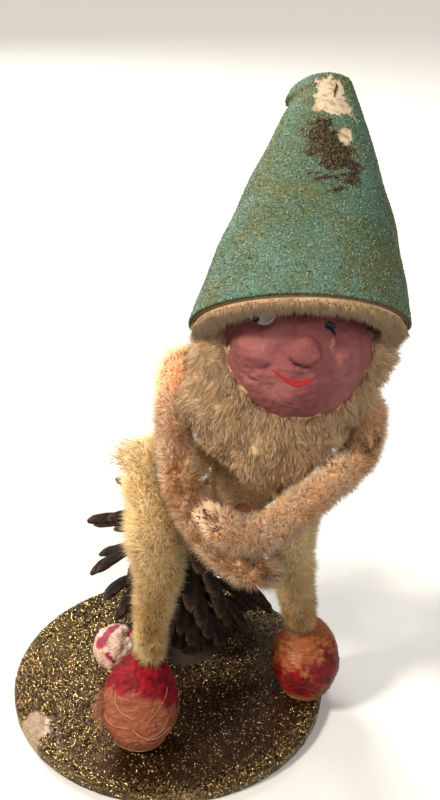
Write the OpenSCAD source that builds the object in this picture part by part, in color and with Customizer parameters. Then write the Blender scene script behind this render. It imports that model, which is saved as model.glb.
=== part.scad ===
// Table ornament: a garden gnome of bent chenille and spun cotton, sitting on an open pine cone
// that is glued to a round glittered board.
// Millimetres, +Z up. The origin is the centre of the board's underside; the gnome looks along -Y.
// Right and left are the gnome's own, so its right side is at -X.

/* [Base] */
// Diameter of the round board with its coat
base_d = 76; // [70:1:90]
// Thickness of the bare board
board_t = 2.6; // [2:0.1:4]
// Thickness of the glitter coat on the board's top and edge
coat_t = 0.4; // [0.2:0.1:0.8]

/* [Pine cone] */
// Number of scales on the whole cone
scale_count = 84; // [60:1:90]
// Length of the longest scales
scale_len = 23.5; // [16:0.5:24]
// Half of the widest part of a scale
scale_half_w = 1.9; // [1.4:0.1:2.6]
// Height of the seed cone's core
core_h = 41; // [36:1:44]

/* [Head] */
// Diameter of the pressed cotton head
head_d = 29.6; // [27:0.2:30]
// Angle of the face above the level
face_pitch = 18.5; // [10:0.5:35]

/* [Hat] */
// Outer radius of the brim
brim_r = 21.8; // [20:0.1:24]
// Height of the hat along its axis
hat_h = 52.2; // [45:0.2:58]
// Radius of the blunt tip
tip_r = 5.4; // [4:0.1:7]
// How far the hat tips backwards, in degrees
hat_tilt = 37.5; // [30:0.5:42]
// How far the tip leans to the gnome's left
hat_lean = 5.2; // [0:0.1:8]
// Thickness of the paper cone
paper_t = 0.5; // [0.3:0.1:0.8]
// Thickness of the flocked cover
cover_t = 0.6; // [0.4:0.1:1]

/* [Limbs] */
// Radius of the arms' chenille
arm_r = 4.2; // [3.2:0.1:4.3]
// Radius of the legs' chenille at the ankles
ankle_r = 3.6; // [3.3:0.1:4.5]
// Radius of the right leg where its chenille is thickest
calf_r = 6.7; // [4.5:0.1:7]
// Radius of the twisted wire core
wire_r = 0.55; // [0.4:0.05:0.7]

/* [Feet] */
// Half of the right foot's width
right_foot_r = 8.4; // [7.6:0.1:9.4]
// Half of the right foot's length
right_foot_l = 10.7; // [9.4:0.1:11.4]
// Half of the left foot's width
left_foot_r = 8.1; // [7.4:0.1:9]
// Half of the left foot's length
left_foot_l = 9.8; // [9:0.1:10.6]

/* [Toadstool] */
// Radius of the cap
cap_r = 5.8; // [4.5:0.1:6]

/* [Hidden] */

$fn = 48;
gap = 0.05;                        // glued faces stand this far apart
top_z = board_t + coat_t;          // the surface that everything stands on
base_r = base_d / 2;

// pine cone
cone_at = [3, 14, 0];
golden_angle = 137.508;
core_bottom = top_z + 3;

// toadstool, feet
stool_at = [-13, 1, top_z];
stool_cap_z = 6.6;                 // height of the cap's centre above the board
stool_brim_z = 3.4;                // height of the cap's flat underside above the board
foot_axis = [0, 1, 1];             // the toes point forwards and down
function half_height(r, l) = sqrt((r * r + l * l) / 2);
right_foot_at = [-5.4, -20.2, top_z + half_height(right_foot_r, right_foot_l)];
left_foot_at = [33.1, -3.3, top_z + half_height(left_foot_r, left_foot_l)];

// torso: a tapered egg about a leaning spine
hip_at = [14, 3.5, 50];
neck_at = [24.6, -2, 80.2];
spine = neck_at - hip_at;
spine_len = norm(spine);
belly_r = 10.2;

// head and hat
head_r = head_d / 2;
head_at = [26.1, -7, 95.5];
face_dir = [0.055, -cos(face_pitch), sin(face_pitch)];
fur_opening_dir = [-0.03, -0.92, 0.39];   // the way the fur round the face opens
hat_axis = [0, sin(hat_tilt), cos(hat_tilt)];
hat_side = [1, 0, 0];
hat_back = [0, cos(hat_tilt), -sin(hat_tilt)];
brim_at = [26.1, -8.8, 99.8];
hat_steps = 12;
hat_sides = 32;
hat_bulge = 1.3;   // [0:0.1:2]
hat_bend = 0.1;   // [-1:0.1:2]

// limb routes, from the body outwards, and their chenille radii
right_leg_path = [[8, 0, 64], [2.5, -2, 66.3], [-4.2, -5, 66.6], [-4.8, -8, 63], [-2.8, -11, 57.5],
                  [-2.2, -13, 51.4], [-1.5, -14.6, 45], [-2.3, -15.9, 38.4], [-3.1, -16.7, 31],
                  [-3.5, -16.8, 23.4]];
right_leg_radii = [4.3, 4.5, 5.4, 4.9, 6.2, calf_r, 5.7, 4.5, 3.8, ankle_r];
left_leg_path = [[25.4, -4.4, 62.6], [28, -8.4, 60.8], [28, -9.8, 54.5], [27.5, -9, 47],
                 [28.4, -7.2, 39], [30.2, -5, 30.5], [31.2, -3.2, 22.6]];
left_leg_radii = [4.3, 4.5, 4.9, 5.2, 4.7, 4.2, ankle_r];
right_arm_path = [[22.2, 9.2, 79.5], [13, 9, 81.5], [5, 4.8, 85], [1.6, -1.5, 87], [1.4, -7, 79.5],
                  [2.1, -11.5, 72.4], [3.9, -16.8, 66.4], [7.9, -21.5, 60.6], [11.8, -23.8, 57],
                  [16.4, -25.4, 54.3], [20.8, -26.4, 53.3]];
left_arm_path = [[22.8, 9.2, 79.5], [32, 9, 79.8], [39, 5.2, 80.6], [42.3, -1.2, 79.2], [42.2, -6.3, 75.9],
                 [39.8, -10.8, 72.3], [34.6, -15.6, 69.2], [28.4, -21.2, 66.5], [22.4, -25.6, 63.7],
                 [16.8, -27.8, 62.8], [12.5, -28.6, 65.1], [10.1, -29, 67.5]];
right_hand_wire_end = [24, -27.2, 53.6];
left_hand_wire_end = [8.3, -29.8, 70];

// ---------------------------------------------------------------- curves and sweeps
function unit(v) = v / norm(v);

function catmull(a, b, c, d, t) =
    0.5 * (2 * b + (c - a) * t + (2 * a - 5 * b + 4 * c - d) * t * t + (3 * b - a - 3 * c + d) * t * t * t);

// A smooth curve through points or through plain numbers, k steps to each stretch
function smooth(p, k) = concat(
    [for (i = [0 : len(p) - 2], j = [0 : k - 1])
        catmull(p[max(i - 1, 0)], p[i], p[i + 1], p[min(i + 2, len(p) - 1)], j / k)],
    [p[len(p) - 1]]);

function along(p, i) = unit(p[min(i + 1, len(p) - 1)] - p[max(i - 1, 0)]);

// The side direction carried along a route without twist
function carried(p, n, i = 0, out = []) =
    i == len(p) ? out
    : let (t = along(p, i), side = unit(n - (n * t) * t)) carried(p, side, i + 1, concat(out, [side]));

function ring(c, n, b, r, m) = [for (j = [0 : m - 1]) c + r * (cos(360 * j / m) * n + sin(360 * j / m) * b)];

function sleeve_rings(p, r, m) =
    let (side = carried(p, [0.3, 0.9, 0.3]))
    [for (i = [0 : len(p) - 1]) each ring(p[i], side[i], cross(along(p, i), side[i]), r[i], m)];

function wall_faces(rows, m, start, out) = [for (i = [0 : rows - 2], j = [0 : m - 1])
    let (a = start + i * m + j, b = start + i * m + (j + 1) % m)
    out ? [a, a + m, b + m, b] : [a, b, b + m, a + m]];

// A solid rod along a route, closed at both ends
module rod(p, r, m) {
    rows = len(p);
    polyhedron(points = sleeve_rings(p, r, m),
               faces = concat([[for (j = [0 : m - 1]) j]],
                              wall_faces(rows, m, 0, true),
                              [[for (j = [m - 1 : -1 : 0]) (rows - 1) * m + j]]),
               convexity = 6);
}

// A sleeve along a route: radius r outside and a plain hole of radius inner
module sleeve(p, r, inner, m) {
    rows = len(p);
    second = rows * m;
    last = (rows - 1) * m;
    polyhedron(points = concat(sleeve_rings(p, r, m), sleeve_rings(p, [for (x = r) inner], m)),
               faces = concat(
                   wall_faces(rows, m, 0, true),
                   wall_faces(rows, m, second, false),
                   [for (j = [0 : m - 1]) let (k = (j + 1) % m) [j, k, second + k, second + j]],
                   [for (j = [0 : m - 1]) let (k = (j + 1) % m)
                       [last + k, last + j, second + last + j, second + last + k]]),
               convexity = 6);
}

// Turns +Z onto direction d
module aim(d) {
    rotate([0, acos(d[2] / norm(d)), atan2(d[1], d[0])]) children();
}

// ---------------------------------------------------------------- base
module base_board() {
    color("tan") cylinder(r = base_r - coat_t - gap, h = board_t - gap, $fn = 120);
}

module glitter_coat() {
    lip = 0.3;                     // the coat stops this far above the table
    edge = 0.9;                    // rounding of the top edge
    color("darkgoldenrod") rotate_extrude($fn = 120) union() {
        translate([0, board_t]) square([base_r - edge, coat_t]);
        translate([base_r - coat_t, lip]) square([coat_t, top_z - edge - lip]);
        intersection() {
            translate([base_r - edge, top_z - edge]) circle(r = edge);
            difference() {
                translate([base_r - edge, top_z - edge]) square(edge);
                square([base_r - coat_t, board_t]);
            }
        }
    }
}

module cone_glue() {
    color("saddlebrown") translate(cone_at + [0, 0, top_z + gap])
        cylinder(r1 = 11, r2 = 6.2, h = core_bottom - top_z - 2 * gap);
}

// ---------------------------------------------------------------- pine cone
function core_r(h) = 6.4 - 3.2 * h / core_h;

module cone_core() {
    steps = 8;
    color("#2e1d14") translate(cone_at + [0, 0, core_bottom]) rotate_extrude()
        polygon(concat([[0, 0]],
                       [for (i = [0 : steps]) [core_r(core_h * i / steps), core_h * i / steps]],
                       [[1.2, core_h + 2], [0, core_h + 2]]));
}

// One woody scale: a flat blade bent on an arc, narrow at its stalk and thick near its tip.
// u runs from 0 at the cone's bottom to 1 at its top.
// front runs from 0 to 1 on the scales under the lap, which are shorter and hang down.
module scale_blade(u, front) {
    sides = 8;
    steps = 5;
    attach_h = 6.5 + 32 * u;
    length = scale_len * sin(30 + 100 * u) * (1 - 0.25 * front);
    rise = -22 + 20 * u + 17 * pow(u, 4) - 24 * front;
    curl = (u < 0.8 ? -32 : -10) - 14 * front;
    bend_r = length / (curl * PI / 180);
    r0 = core_r(attach_h) + gap;
    // radial and vertical place of a point s of the way along the blade
    reach = [for (i = [0 : steps]) let (e = rise + curl * i / steps)
        [r0 + bend_r * (sin(e) - sin(rise)), attach_h - bend_r * (cos(e) - cos(rise))]];
    half_w = [for (i = [0 : steps]) let (s = i / steps) scale_half_w * (0.5 + 0.5 * sin(180 * pow(s, 2)))];
    half_t = [for (i = [0 : steps]) let (s = i / steps) 0.5 + 0.5 * sin(150 * pow(s, 1.5))];
    pts = [for (i = [0 : steps]) let (e = rise + curl * i / steps)
        each [for (j = [0 : sides - 1]) let (a = 360 * j / sides)
            [reach[i][0] - half_t[i] * sin(a) * sin(e), half_w[i] * cos(a),
             reach[i][1] + half_t[i] * sin(a) * cos(e)]]];
    polyhedron(points = pts,
               faces = concat([[for (j = [0 : sides - 1]) j]],
                              wall_faces(steps + 1, sides, 0, true),
                              [[for (j = [sides - 1 : -1 : 0]) steps * sides + j]]),
               convexity = 4);
}

// A low scale that would stand where the toadstool is has broken off
function is_broken(k) =
    let (u = k / scale_count, to_stool = stool_at - cone_at,
         off = abs((golden_angle * k - atan2(to_stool[1], to_stool[0]) + 720) % 360))
    u < 0.48 && min(off, 360 - off) < 26;

module scales(from_u, to_u) {
    color("#4a3326") translate(cone_at + [0, 0, core_bottom])
        for (k = [round(from_u * scale_count) : round(to_u * scale_count) - 1])
            if (!is_broken(k)) rotate([0, 0, golden_angle * k])
                scale_blade(k / scale_count, max(0, -sin(golden_angle * k)));
}

module cone_scales_lower() {
    scales(0, 0.36);
}

module cone_scales_middle() {
    scales(0.36, 0.7);
}

module cone_scales_upper() {
    scales(0.7, 1);
}

module seat_glue() {
    color("peru") difference() {
        translate([11.4, 6.4, 46]) cylinder(r1 = 3, r2 = 4.6, h = 6);
        translate(hip_at) aim(spine) torso_shape(gap);
    }
}

// ---------------------------------------------------------------- body
function torso_r(s) = belly_r * pow(sin(18 + 128 * s), 0.75) * (1 - 0.12 * s);

module torso_shape(grow = 0) {
    steps = 14;
    rotate_extrude() polygon(concat([[0, -1 - grow]],
        [for (i = [0 : steps]) [torso_r(i / steps) + grow, spine_len * i / steps - (i == 0 ? grow : 0)]],
        [[0, spine_len + grow]]));
}

module torso() {
    color("#cdb877") difference() {
        translate(hip_at) aim(spine) torso_shape();
        translate(neck_at - 8 * unit(spine)) aim(spine) cylinder(r = wire_r + gap, h = 12);
    }
}

// One turn of pink chenille laid round the chest, open at the front
module torso_wrap() {
    pile_r = 2.2;
    at = 0.76;
    color("#b98a72") translate(hip_at + at * spine) aim(spine)
        rotate([0, 0, 10]) rotate_extrude(angle = 210)
            translate([torso_r(at) + pile_r + 0.4, 0]) circle(r = pile_r, $fn = 24);
}

module neck_wire() {
    in_torso = 7;
    in_head = 8;
    color("dimgray") translate(neck_at - in_torso * unit(spine)) aim(spine)
        cylinder(r = wire_r, h = in_torso + in_head, $fn = 16);
}

// ---------------------------------------------------------------- limbs
function limb(p) = smooth(p, 4);

module limb_wire(path, foot_or_end, lead) {
    color("dimgray") rod(limb(concat([lead], path, [foot_or_end])),
                         [for (i = [0 : (len(path) + 1) * 4]) wire_r], 8);
}

module limb_chenille(path, radii) {
    sleeve(limb(path), smooth(radii, 4), wire_r + gap, 10);
}

module right_leg_wire() {
    limb_wire(right_leg_path, right_foot_at + [0.5, 1, 2], right_leg_path[0] + [0.6, 0.1, -0.2]);
}

module right_leg_chenille() {
    color("#e2c88a") limb_chenille(right_leg_path, right_leg_radii);
}

module left_leg_wire() {
    limb_wire(left_leg_path, left_foot_at + [0, 0.2, 2], left_leg_path[0] + [-0.5, 0.6, 0.3]);
}

module left_leg_chenille() {
    color("#e2c88a") limb_chenille(left_leg_path, left_leg_radii);
}

module right_arm_wire() {
    limb_wire(right_arm_path, right_hand_wire_end, right_arm_path[0] + [0.1, 0, 0]);
}

module right_arm_chenille() {
    color("#dca98a") limb_chenille(right_arm_path, [for (p = right_arm_path) arm_r]);
}

module left_arm_wire() {
    limb_wire(left_arm_path, left_hand_wire_end, left_arm_path[0] + [-0.1, 0, 0]);
}

module left_arm_chenille() {
    color("#dca98a") limb_chenille(left_arm_path, [for (p = left_arm_path) arm_r]);
}

// ---------------------------------------------------------------- feet
// An egg, r half wide and l half long, that lies along the foot's axis
module egg(r, l) {
    aim(foot_axis) rotate_extrude($fn = 64)
        polygon([for (a = [-90 : 7.5 : 90]) [r * max(cos(a), 0), l * sin(a)]]);
}

// A foot with a blind hole for the leg's wire and a flat seat for the end of its chenille
module foot_ball(at, r, l, ankle) {
    hole_r = 1.1;
    difference() {
        translate(at) egg(r, l);
        translate(at + [0, 0, 0.5]) aim(ankle - at) cylinder(r = hole_r, h = l + 2);
        translate(ankle) aim(at - ankle) translate([0, 0, -3]) cylinder(r = ankle_r + 0.6, h = 3 + gap);
    }
}

// A ring of dried glue in the gap between the foot and the board
module glue_ring(at) {
    translate([at[0], at[1], top_z + gap]) difference() {
        cylinder(r1 = 5.2, r2 = 4.5, h = 0.9);
        translate([0, 0, -0.1]) cylinder(r1 = 1.5, r2 = 4.6, h = 1.1);
    }
}

module right_foot() {
    color("crimson") foot_ball(right_foot_at, right_foot_r, right_foot_l, right_leg_path[len(right_leg_path) - 1]);
}

module left_foot() {
    color("chocolate") foot_ball(left_foot_at, left_foot_r, left_foot_l, left_leg_path[len(left_leg_path) - 1]);
}

module right_foot_glue() {
    color("peru") glue_ring(right_foot_at);
}

module left_foot_glue() {
    color("peru") glue_ring(left_foot_at);
}

// ---------------------------------------------------------------- head and fur
module head() {
    nose_r = 3.5;
    color("#b5717a") difference() {
        union() {
            translate(head_at) sphere(r = head_r, $fn = 72);
            translate(head_at + (head_r - 1.7) * unit(face_dir)) sphere(r = nose_r, $fn = 32);
        }
        translate(neck_at) aim(spine) cylinder(r = wire_r + gap, h = 9);
    }
}

// Everything on the crown's side of a plane square to the hat's axis, h above the brim
module above_brim(h) {
    translate(brim_at + h * hat_axis) rotate([-hat_tilt, 0, 0]) translate([-40, -40, 0]) cube([80, 80, 80]);
}

module beard() {
    arm_space = arm_r + 0.2;
    color("#cdb98a") difference() {
        hull() {
            translate([13.2, -5.5, 93]) sphere(r = 8.8, $fn = 28);
            translate([38.8, -5.5, 93]) sphere(r = 8.6, $fn = 28);
            translate([12.8, -8.2, 83.6]) sphere(r = 7.2, $fn = 28);
            translate([36.6, -8, 83.5]) sphere(r = 6, $fn = 28);
            translate([18.8, -12.8, 72.4]) sphere(r = 5.6, $fn = 28);
            translate([26.2, -12, 71.8]) sphere(r = 5.2, $fn = 28);
        }
        translate(head_at) sphere(r = head_r + gap, $fn = 72);
        translate(head_at) aim(fur_opening_dir) cylinder(r = head_r - 0.6, h = 30);
        above_brim(-2.1);
        translate(hip_at) aim(spine) torso_shape(0.3);
        rod(limb(right_arm_path), [for (i = [0 : (len(right_arm_path) - 1) * 4]) arm_space], 10);
        rod(limb(left_arm_path), [for (i = [0 : (len(left_arm_path) - 1) * 4]) arm_space], 10);
        translate([0, -4.5, 60]) cube([60, 30, 26]);
        translate([0, -1, 60]) cube([60, 30, 60]);
    }
}

module brow_fur() {
    color("#d8c79c") difference() {
        translate(brim_at - 2 * hat_axis) rotate([-hat_tilt, 0, 0]) rotate_extrude($fn = 72)
            translate([13, 0]) square([brim_r - paper_t - cover_t - 0.4 - 13 - 0.6, 5.5]);
        translate(head_at) sphere(r = head_r + gap, $fn = 72);
    }
}

module nape_fur() {
    color("#cdb98a") difference() {
        hull() {
            translate([14, 3, 91]) sphere(r = 4.6, $fn = 28);
            translate([38, 3, 91]) sphere(r = 4.6, $fn = 28);
            translate([26, 5.5, 88.5]) sphere(r = 3.8, $fn = 28);
        }
        translate(head_at) sphere(r = head_r + gap, $fn = 72);
        above_brim(-2.1);
        translate([0, -20.5, 60]) cube([60, 20, 60]);
    }
}

// ---------------------------------------------------------------- hat
function hat_r(s) = brim_r + (tip_r - brim_r) * s + hat_bulge * sin(180 * s);

function hat_centre(s) = brim_at + hat_h * s * hat_axis + (hat_lean * s + hat_bend * sin(180 * s)) * hat_side;

// Rings of a cone that leans sideways, drawn in by d and stopped s_top of the way up
function hat_rings(d, s_top) = [for (i = [0 : hat_steps]) let (s = s_top * i / hat_steps)
    each ring(hat_centre(s), hat_side, hat_back * -1, hat_r(s) - d, hat_sides)];

// A cone shell between two depths below the outer surface, open at the brim, closed at the tip
module cone_shell(outer_d, inner_d, s_out, s_in) {
    m = hat_sides;
    second = (hat_steps + 1) * m;
    last = hat_steps * m;
    polyhedron(points = concat(hat_rings(outer_d, s_out), hat_rings(inner_d, s_in)),
               faces = concat(
                   wall_faces(hat_steps + 1, m, 0, true),
                   wall_faces(hat_steps + 1, m, second, false),
                   [for (j = [0 : m - 1]) let (k = (j + 1) % m) [j, k, second + k, second + j]],
                   [[for (j = [m - 1 : -1 : 0]) last + j]],
                   [[for (j = [0 : m - 1]) second + last + j]]),
               convexity = 4);
}

module hat_paper() {
    color("#a98f63") cone_shell(cover_t + gap, cover_t + paper_t, 0.955, 0.94);
}

module hat_cover() {
    color("#4f9c84") cone_shell(0, cover_t, 1, 0.96);
}

// ---------------------------------------------------------------- small pieces
module toadstool_stem() {
    color("ivory") translate(stool_at + [0, 0, gap])
        cylinder(r1 = 2.6, r2 = 2.1, h = stool_brim_z - 2 * gap);
}

module toadstool_cap() {
    dot_r = 0.9;
    dots = [[20, 80], [48, 200], [55, 330], [38, 265], [72, 20], [66, 130]];   // tilt, turn
    color("#d3a5a0") translate(stool_at + [0, 0, stool_brim_z]) intersection() {
        translate([0, 0, stool_cap_z - stool_brim_z]) union() {
            sphere(r = cap_r);
            for (d = dots) rotate([0, d[0], d[1]]) translate([0, 0, cap_r - 0.35]) sphere(r = dot_r, $fn = 20);
        }
        translate([-8, -8, 0]) cube([16, 16, 12]);
    }
}

module waist_bead() {
    half_l = 2;
    half_w = 1.2;
    color("#a5623a") translate([16.4, -9.8, 57.6]) rotate([80, 0, 0]) rotate_extrude($fn = 32)
        polygon([for (a = [-90 : 15 : 90]) [half_l * cos(a), half_w * sin(a)]]);
}

base_board();
glitter_coat();
cone_glue();
cone_core();
cone_scales_lower();
cone_scales_middle();
cone_scales_upper();
seat_glue();
torso();
torso_wrap();
neck_wire();
right_leg_wire();
right_leg_chenille();
left_leg_wire();
left_leg_chenille();
right_foot();
left_foot();
right_foot_glue();
left_foot_glue();
right_arm_wire();
right_arm_chenille();
left_arm_wire();
left_arm_chenille();
head();
beard();
brow_fur();
nape_fur();
hat_paper();
hat_cover();
toadstool_stem();
toadstool_cap();
waist_bead();
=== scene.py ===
import math

import bmesh
import bpy
import numpy as np
from mathutils import Matrix, Vector


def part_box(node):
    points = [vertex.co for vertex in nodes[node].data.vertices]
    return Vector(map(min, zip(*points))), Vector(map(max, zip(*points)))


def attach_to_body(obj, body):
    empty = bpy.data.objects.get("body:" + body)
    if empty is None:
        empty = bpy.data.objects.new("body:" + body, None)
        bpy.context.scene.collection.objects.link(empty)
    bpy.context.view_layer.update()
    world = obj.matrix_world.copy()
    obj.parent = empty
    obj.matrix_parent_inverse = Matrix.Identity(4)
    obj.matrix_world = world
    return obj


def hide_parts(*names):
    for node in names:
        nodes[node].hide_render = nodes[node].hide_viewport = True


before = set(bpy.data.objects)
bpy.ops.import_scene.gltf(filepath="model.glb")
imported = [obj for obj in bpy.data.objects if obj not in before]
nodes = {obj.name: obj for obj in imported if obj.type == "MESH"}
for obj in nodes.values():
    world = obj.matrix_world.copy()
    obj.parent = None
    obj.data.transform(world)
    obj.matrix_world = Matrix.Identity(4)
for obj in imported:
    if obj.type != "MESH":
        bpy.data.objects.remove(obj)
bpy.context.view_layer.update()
mm = 0.001
print("frame loaded:", len(nodes), "CAD nodes")

# Camera: above the table, looking down at the board, tipped slightly clockwise
camera = {"place": (10.9, -185.7, 169.5), "down": 25.96, "roll": 1.46, "lens": 43.2}


# The camera stands at its place, looks along +Y, is tipped down and rolled about its own line of sight
def makeCamera(look):
    down, roll = math.radians(look["down"]), math.radians(look["roll"])
    right = np.array([1.0, 0, 0])
    up = np.array([0, math.sin(down), math.cos(down)])
    ahead = np.array([0, math.cos(down), -math.sin(down)])
    turned = math.cos(roll) * right + math.sin(roll) * up
    upright = math.cos(roll) * up - math.sin(roll) * right
    data = bpy.data.cameras.new("tableCamera")
    data.lens = look["lens"]
    data.clip_start = 0.01
    obj = bpy.data.objects.new("tableCamera", data)
    bpy.context.scene.collection.objects.link(obj)
    rows = [[turned[i], upright[i], -ahead[i], look["place"][i] * mm] for i in range(3)]
    obj.matrix_world = Matrix(rows + [[0, 0, 0, 1]])
    bpy.context.scene.camera = obj


makeCamera(camera)


# Shapes are all in millimetres until makePiece puts them into a mesh.
# A vector divided by its own length
def unit(v):
    return v / np.maximum(np.linalg.norm(v, axis=-1, keepdims=True), 1e-9)


# A lumpy field: the sum of plane waves in random directions, about -1 to 1
def lumps(points, size, seed, waves=16):
    draw = np.random.default_rng(seed)
    direction = unit(draw.normal(size=(waves, 3))) * draw.uniform(0.6, 1.6, (waves, 1))
    phase = draw.uniform(0, 2 * math.pi, waves)
    return np.sin(points @ (direction * 2 * math.pi / size).T + phase).sum(-1) * math.sqrt(2 / waves) * 0.7


# A smooth step from 0 at low to 1 at high
def fade(value, low, high):
    t = np.clip((value - low) / (high - low), 0, 1)
    return t * t * (3 - 2 * t)


# A Catmull-Rom curve through points or plain numbers, so many steps to each stretch
def smoothCurve(points, steps):
    p = np.asarray(points, float)
    flat = p.ndim == 1
    p = p[:, None] if flat else p
    q = np.concatenate([p[:1], p, p[-1:]])
    t = (np.arange(steps) / steps)[None, :, None]
    a, b, c, d = (q[k:len(q) - 3 + k][:, None, :] for k in range(4))
    rows = 0.5 * (2 * b + (c - a) * t + (2 * a - 5 * b + 4 * c - d) * t ** 2
                  + (3 * b - a - 3 * c + d) * t ** 3)
    out = np.concatenate([rows.reshape(-1, p.shape[1]), p[-1:]])
    return out[:, 0] if flat else out


# The same curve with its points at even distances, and its length
def evenCurve(path, count):
    gone = np.concatenate([[0], np.cumsum(np.linalg.norm(np.diff(path, axis=0), axis=1))])
    at = np.linspace(0, gone[-1], count)
    return np.stack([np.interp(at, gone, path[:, k]) for k in range(3)], 1), gone[-1]


# Distance of directions from the straight line between two directions
def offLine(d, start, finish):
    p, q = unit(np.array(start)), unit(np.array(finish))
    share = np.clip(((d - p) @ (q - p)) / ((q - p) @ (q - p)), 0, 1)
    return np.linalg.norm(d - p - share[..., None] * (q - p), axis=-1)


# Tangent, side and third direction along a curve; side is kept off the line of travel
def pathFrame(path, towards=(0.3, 0.9, 0.3)):
    tangent = unit(np.gradient(path, axis=0))
    side = unit(np.array(towards) - (tangent @ np.array(towards))[:, None] * tangent)
    return tangent, side, np.cross(tangent, side)


# Rings of a tube: centre + radius * (cos a * side + sin a * third direction)
def tubeGrid(path, radius, sides):
    tangent, side, third = pathFrame(path)
    a = np.arange(sides) * 2 * math.pi / sides
    r = np.broadcast_to(np.asarray(radius, float).reshape(len(path), -1), (len(path), sides))
    return path[:, None] + r[..., None] * (np.cos(a)[:, None] * side[:, None]
                                           + np.sin(a)[:, None] * third[:, None])


# A grid of rings, closed round each ring, with a middle point on the first and the last one
def closedSurface(grid):
    rows, cols = grid.shape[:2]
    points = np.concatenate([grid.reshape(-1, 3), grid[:1].mean(1), grid[-1:].mean(1)])
    i, j = np.meshgrid(np.arange(rows - 1), np.arange(cols), indexing="ij")
    a, b = (i * cols + j).ravel(), (i * cols + (j + 1) % cols).ravel()
    c, d = b + cols, a + cols
    ring = np.arange(cols)
    after = (ring + 1) % cols
    first, last = np.full(cols, rows * cols), np.full(cols, rows * cols + 1)
    top = (rows - 1) * cols
    faces = np.concatenate([np.stack([a, b, c], 1), np.stack([a, c, d], 1),
                            np.stack([first, after, ring], 1), np.stack([last, top + ring, top + after], 1)])
    return points, faces


# A value for each point of a closed surface from its value on the grid
def closedValue(value):
    return np.concatenate([value.ravel(), [value[0].mean(), value[-1].mean()]])


# Strands: three-sided spikes from root to tip. A bowed one has a middle ring pushed over by bow.
def strandPart(root, tip, width, tint, bow=None):
    n = len(root)
    line = unit(tip - root)
    across = unit(np.cross(line, np.roll(line, 1, axis=1) + np.array([0.31, 0.17, 0.53])))
    other = np.cross(line, across)
    corner = np.stack([across, -0.5 * across + 0.866 * other, -0.5 * across - 0.866 * other], 1)
    wide = np.broadcast_to(np.asarray(width, float).reshape(-1, 1, 1), (n, 1, 1))
    low = root[:, None] + wide * corner
    if bow is None:
        points = np.concatenate([low, tip[:, None]], 1)
        local = np.array([[0, 1, 3], [1, 2, 3], [2, 0, 3], [0, 2, 1]])
        height = [0, 0, 0, 1]
    else:
        middle = (0.5 * (root + tip) + bow)[:, None] + 0.75 * wide * corner
        points = np.concatenate([low, middle, tip[:, None]], 1)
        local = np.array([[0, 1, 4], [0, 4, 3], [1, 2, 5], [1, 5, 4], [2, 0, 3], [2, 3, 5],
                          [3, 4, 6], [4, 5, 6], [5, 3, 6], [0, 2, 1]])
        height = [0, 0, 0, 0.5, 0.5, 0.5, 1]
    size = points.shape[1]
    faces = (np.arange(n)[:, None, None] * size + local[None]).reshape(-1, 3)
    return {"points": points.reshape(-1, 3), "faces": faces,
            "height": np.tile(height, n).astype(float), "tint": np.repeat(tint, size)}


# One part made of several: points one after another, faces counted on
def joinParts(parts):
    keys = sorted(set(k for p in parts for k in p if k not in ("points", "faces")))
    count = np.cumsum([0] + [len(p["points"]) for p in parts])
    out = {"points": np.concatenate([p["points"] for p in parts]),
           "faces": np.concatenate([p["faces"] + count[i] for i, p in enumerate(parts)])}
    for k in keys:
        out[k] = np.concatenate([np.broadcast_to(np.asarray(p.get(k, 0.0), float), len(p["points"]))
                                 for p in parts])
    return out


# Puts a part into a mesh object that rides on the ornament, with its values as point attributes
def makePiece(name, part, material, replaces=()):
    points, faces = part["points"] * mm, part["faces"]
    mesh = bpy.data.meshes.new(name)
    mesh.vertices.add(len(points))
    mesh.vertices.foreach_set("co", points.astype(np.float32).ravel())
    mesh.loops.add(faces.size)
    mesh.loops.foreach_set("vertex_index", faces.astype(np.int32).ravel())
    mesh.polygons.add(len(faces))
    mesh.polygons.foreach_set("loop_start", np.arange(0, faces.size, 3, dtype=np.int32))
    mesh.polygons.foreach_set("loop_total", np.full(len(faces), 3, dtype=np.int32))
    mesh.polygons.foreach_set("use_smooth", np.ones(len(faces), dtype=bool))
    for key, value in part.items():
        if key not in ("points", "faces"):
            row = mesh.attributes.new(key, "FLOAT", "POINT")
            row.data.foreach_set("value", np.broadcast_to(np.asarray(value, np.float32), len(points)).copy())
    mesh.update(calc_edges=True)
    mesh.materials.append(material)
    obj = bpy.data.objects.new(name, mesh)
    bpy.context.scene.collection.objects.link(obj)
    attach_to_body(obj, "root")
    if replaces:
        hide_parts(*replaces)
    print("  piece", name, len(faces), "triangles")
    return obj


# Adds a shader node; an input that is a socket is linked, any other is set
def add(tree, kind, inputs=None, **settings):
    node = tree.nodes.new("ShaderNode" + kind)
    for key, value in settings.items():
        setattr(node, key, value)
    for key, value in (inputs or {}).items():
        if isinstance(value, bpy.types.NodeSocket):
            tree.links.new(value, node.inputs[key])
        else:
            node.inputs[key].default_value = value
    return node


# An empty material with its tree, its shader and the place on the object
def newMaterial(name):
    material = bpy.data.materials.new(name)
    material.use_nodes = True
    tree = material.node_tree
    shader = tree.nodes["Principled BSDF"]
    place = add(tree, "TexCoord").outputs["Object"]
    return material, tree, shader, place


# Red, green and blue with full alpha
def colour(c):
    return (c[0], c[1], c[2], 1.0)


# The value that a piece carries at each point under this name
def value(tree, name):
    return add(tree, "Attribute", attribute_name=name).outputs["Fac"]


# Cloudy noise with lumps of so many millimetres
def noise(tree, place, size, detail=3.0, rough=0.55, stretch=None, warp=0.0):
    if stretch:
        place = add(tree, "Mapping", {"Vector": place, "Scale": stretch}).outputs["Vector"]
    return add(tree, "TexNoise", {"Vector": place, "Scale": 1 / (size * mm), "Detail": detail,
                                  "Roughness": rough, "Distortion": warp}).outputs["Fac"]


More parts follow.
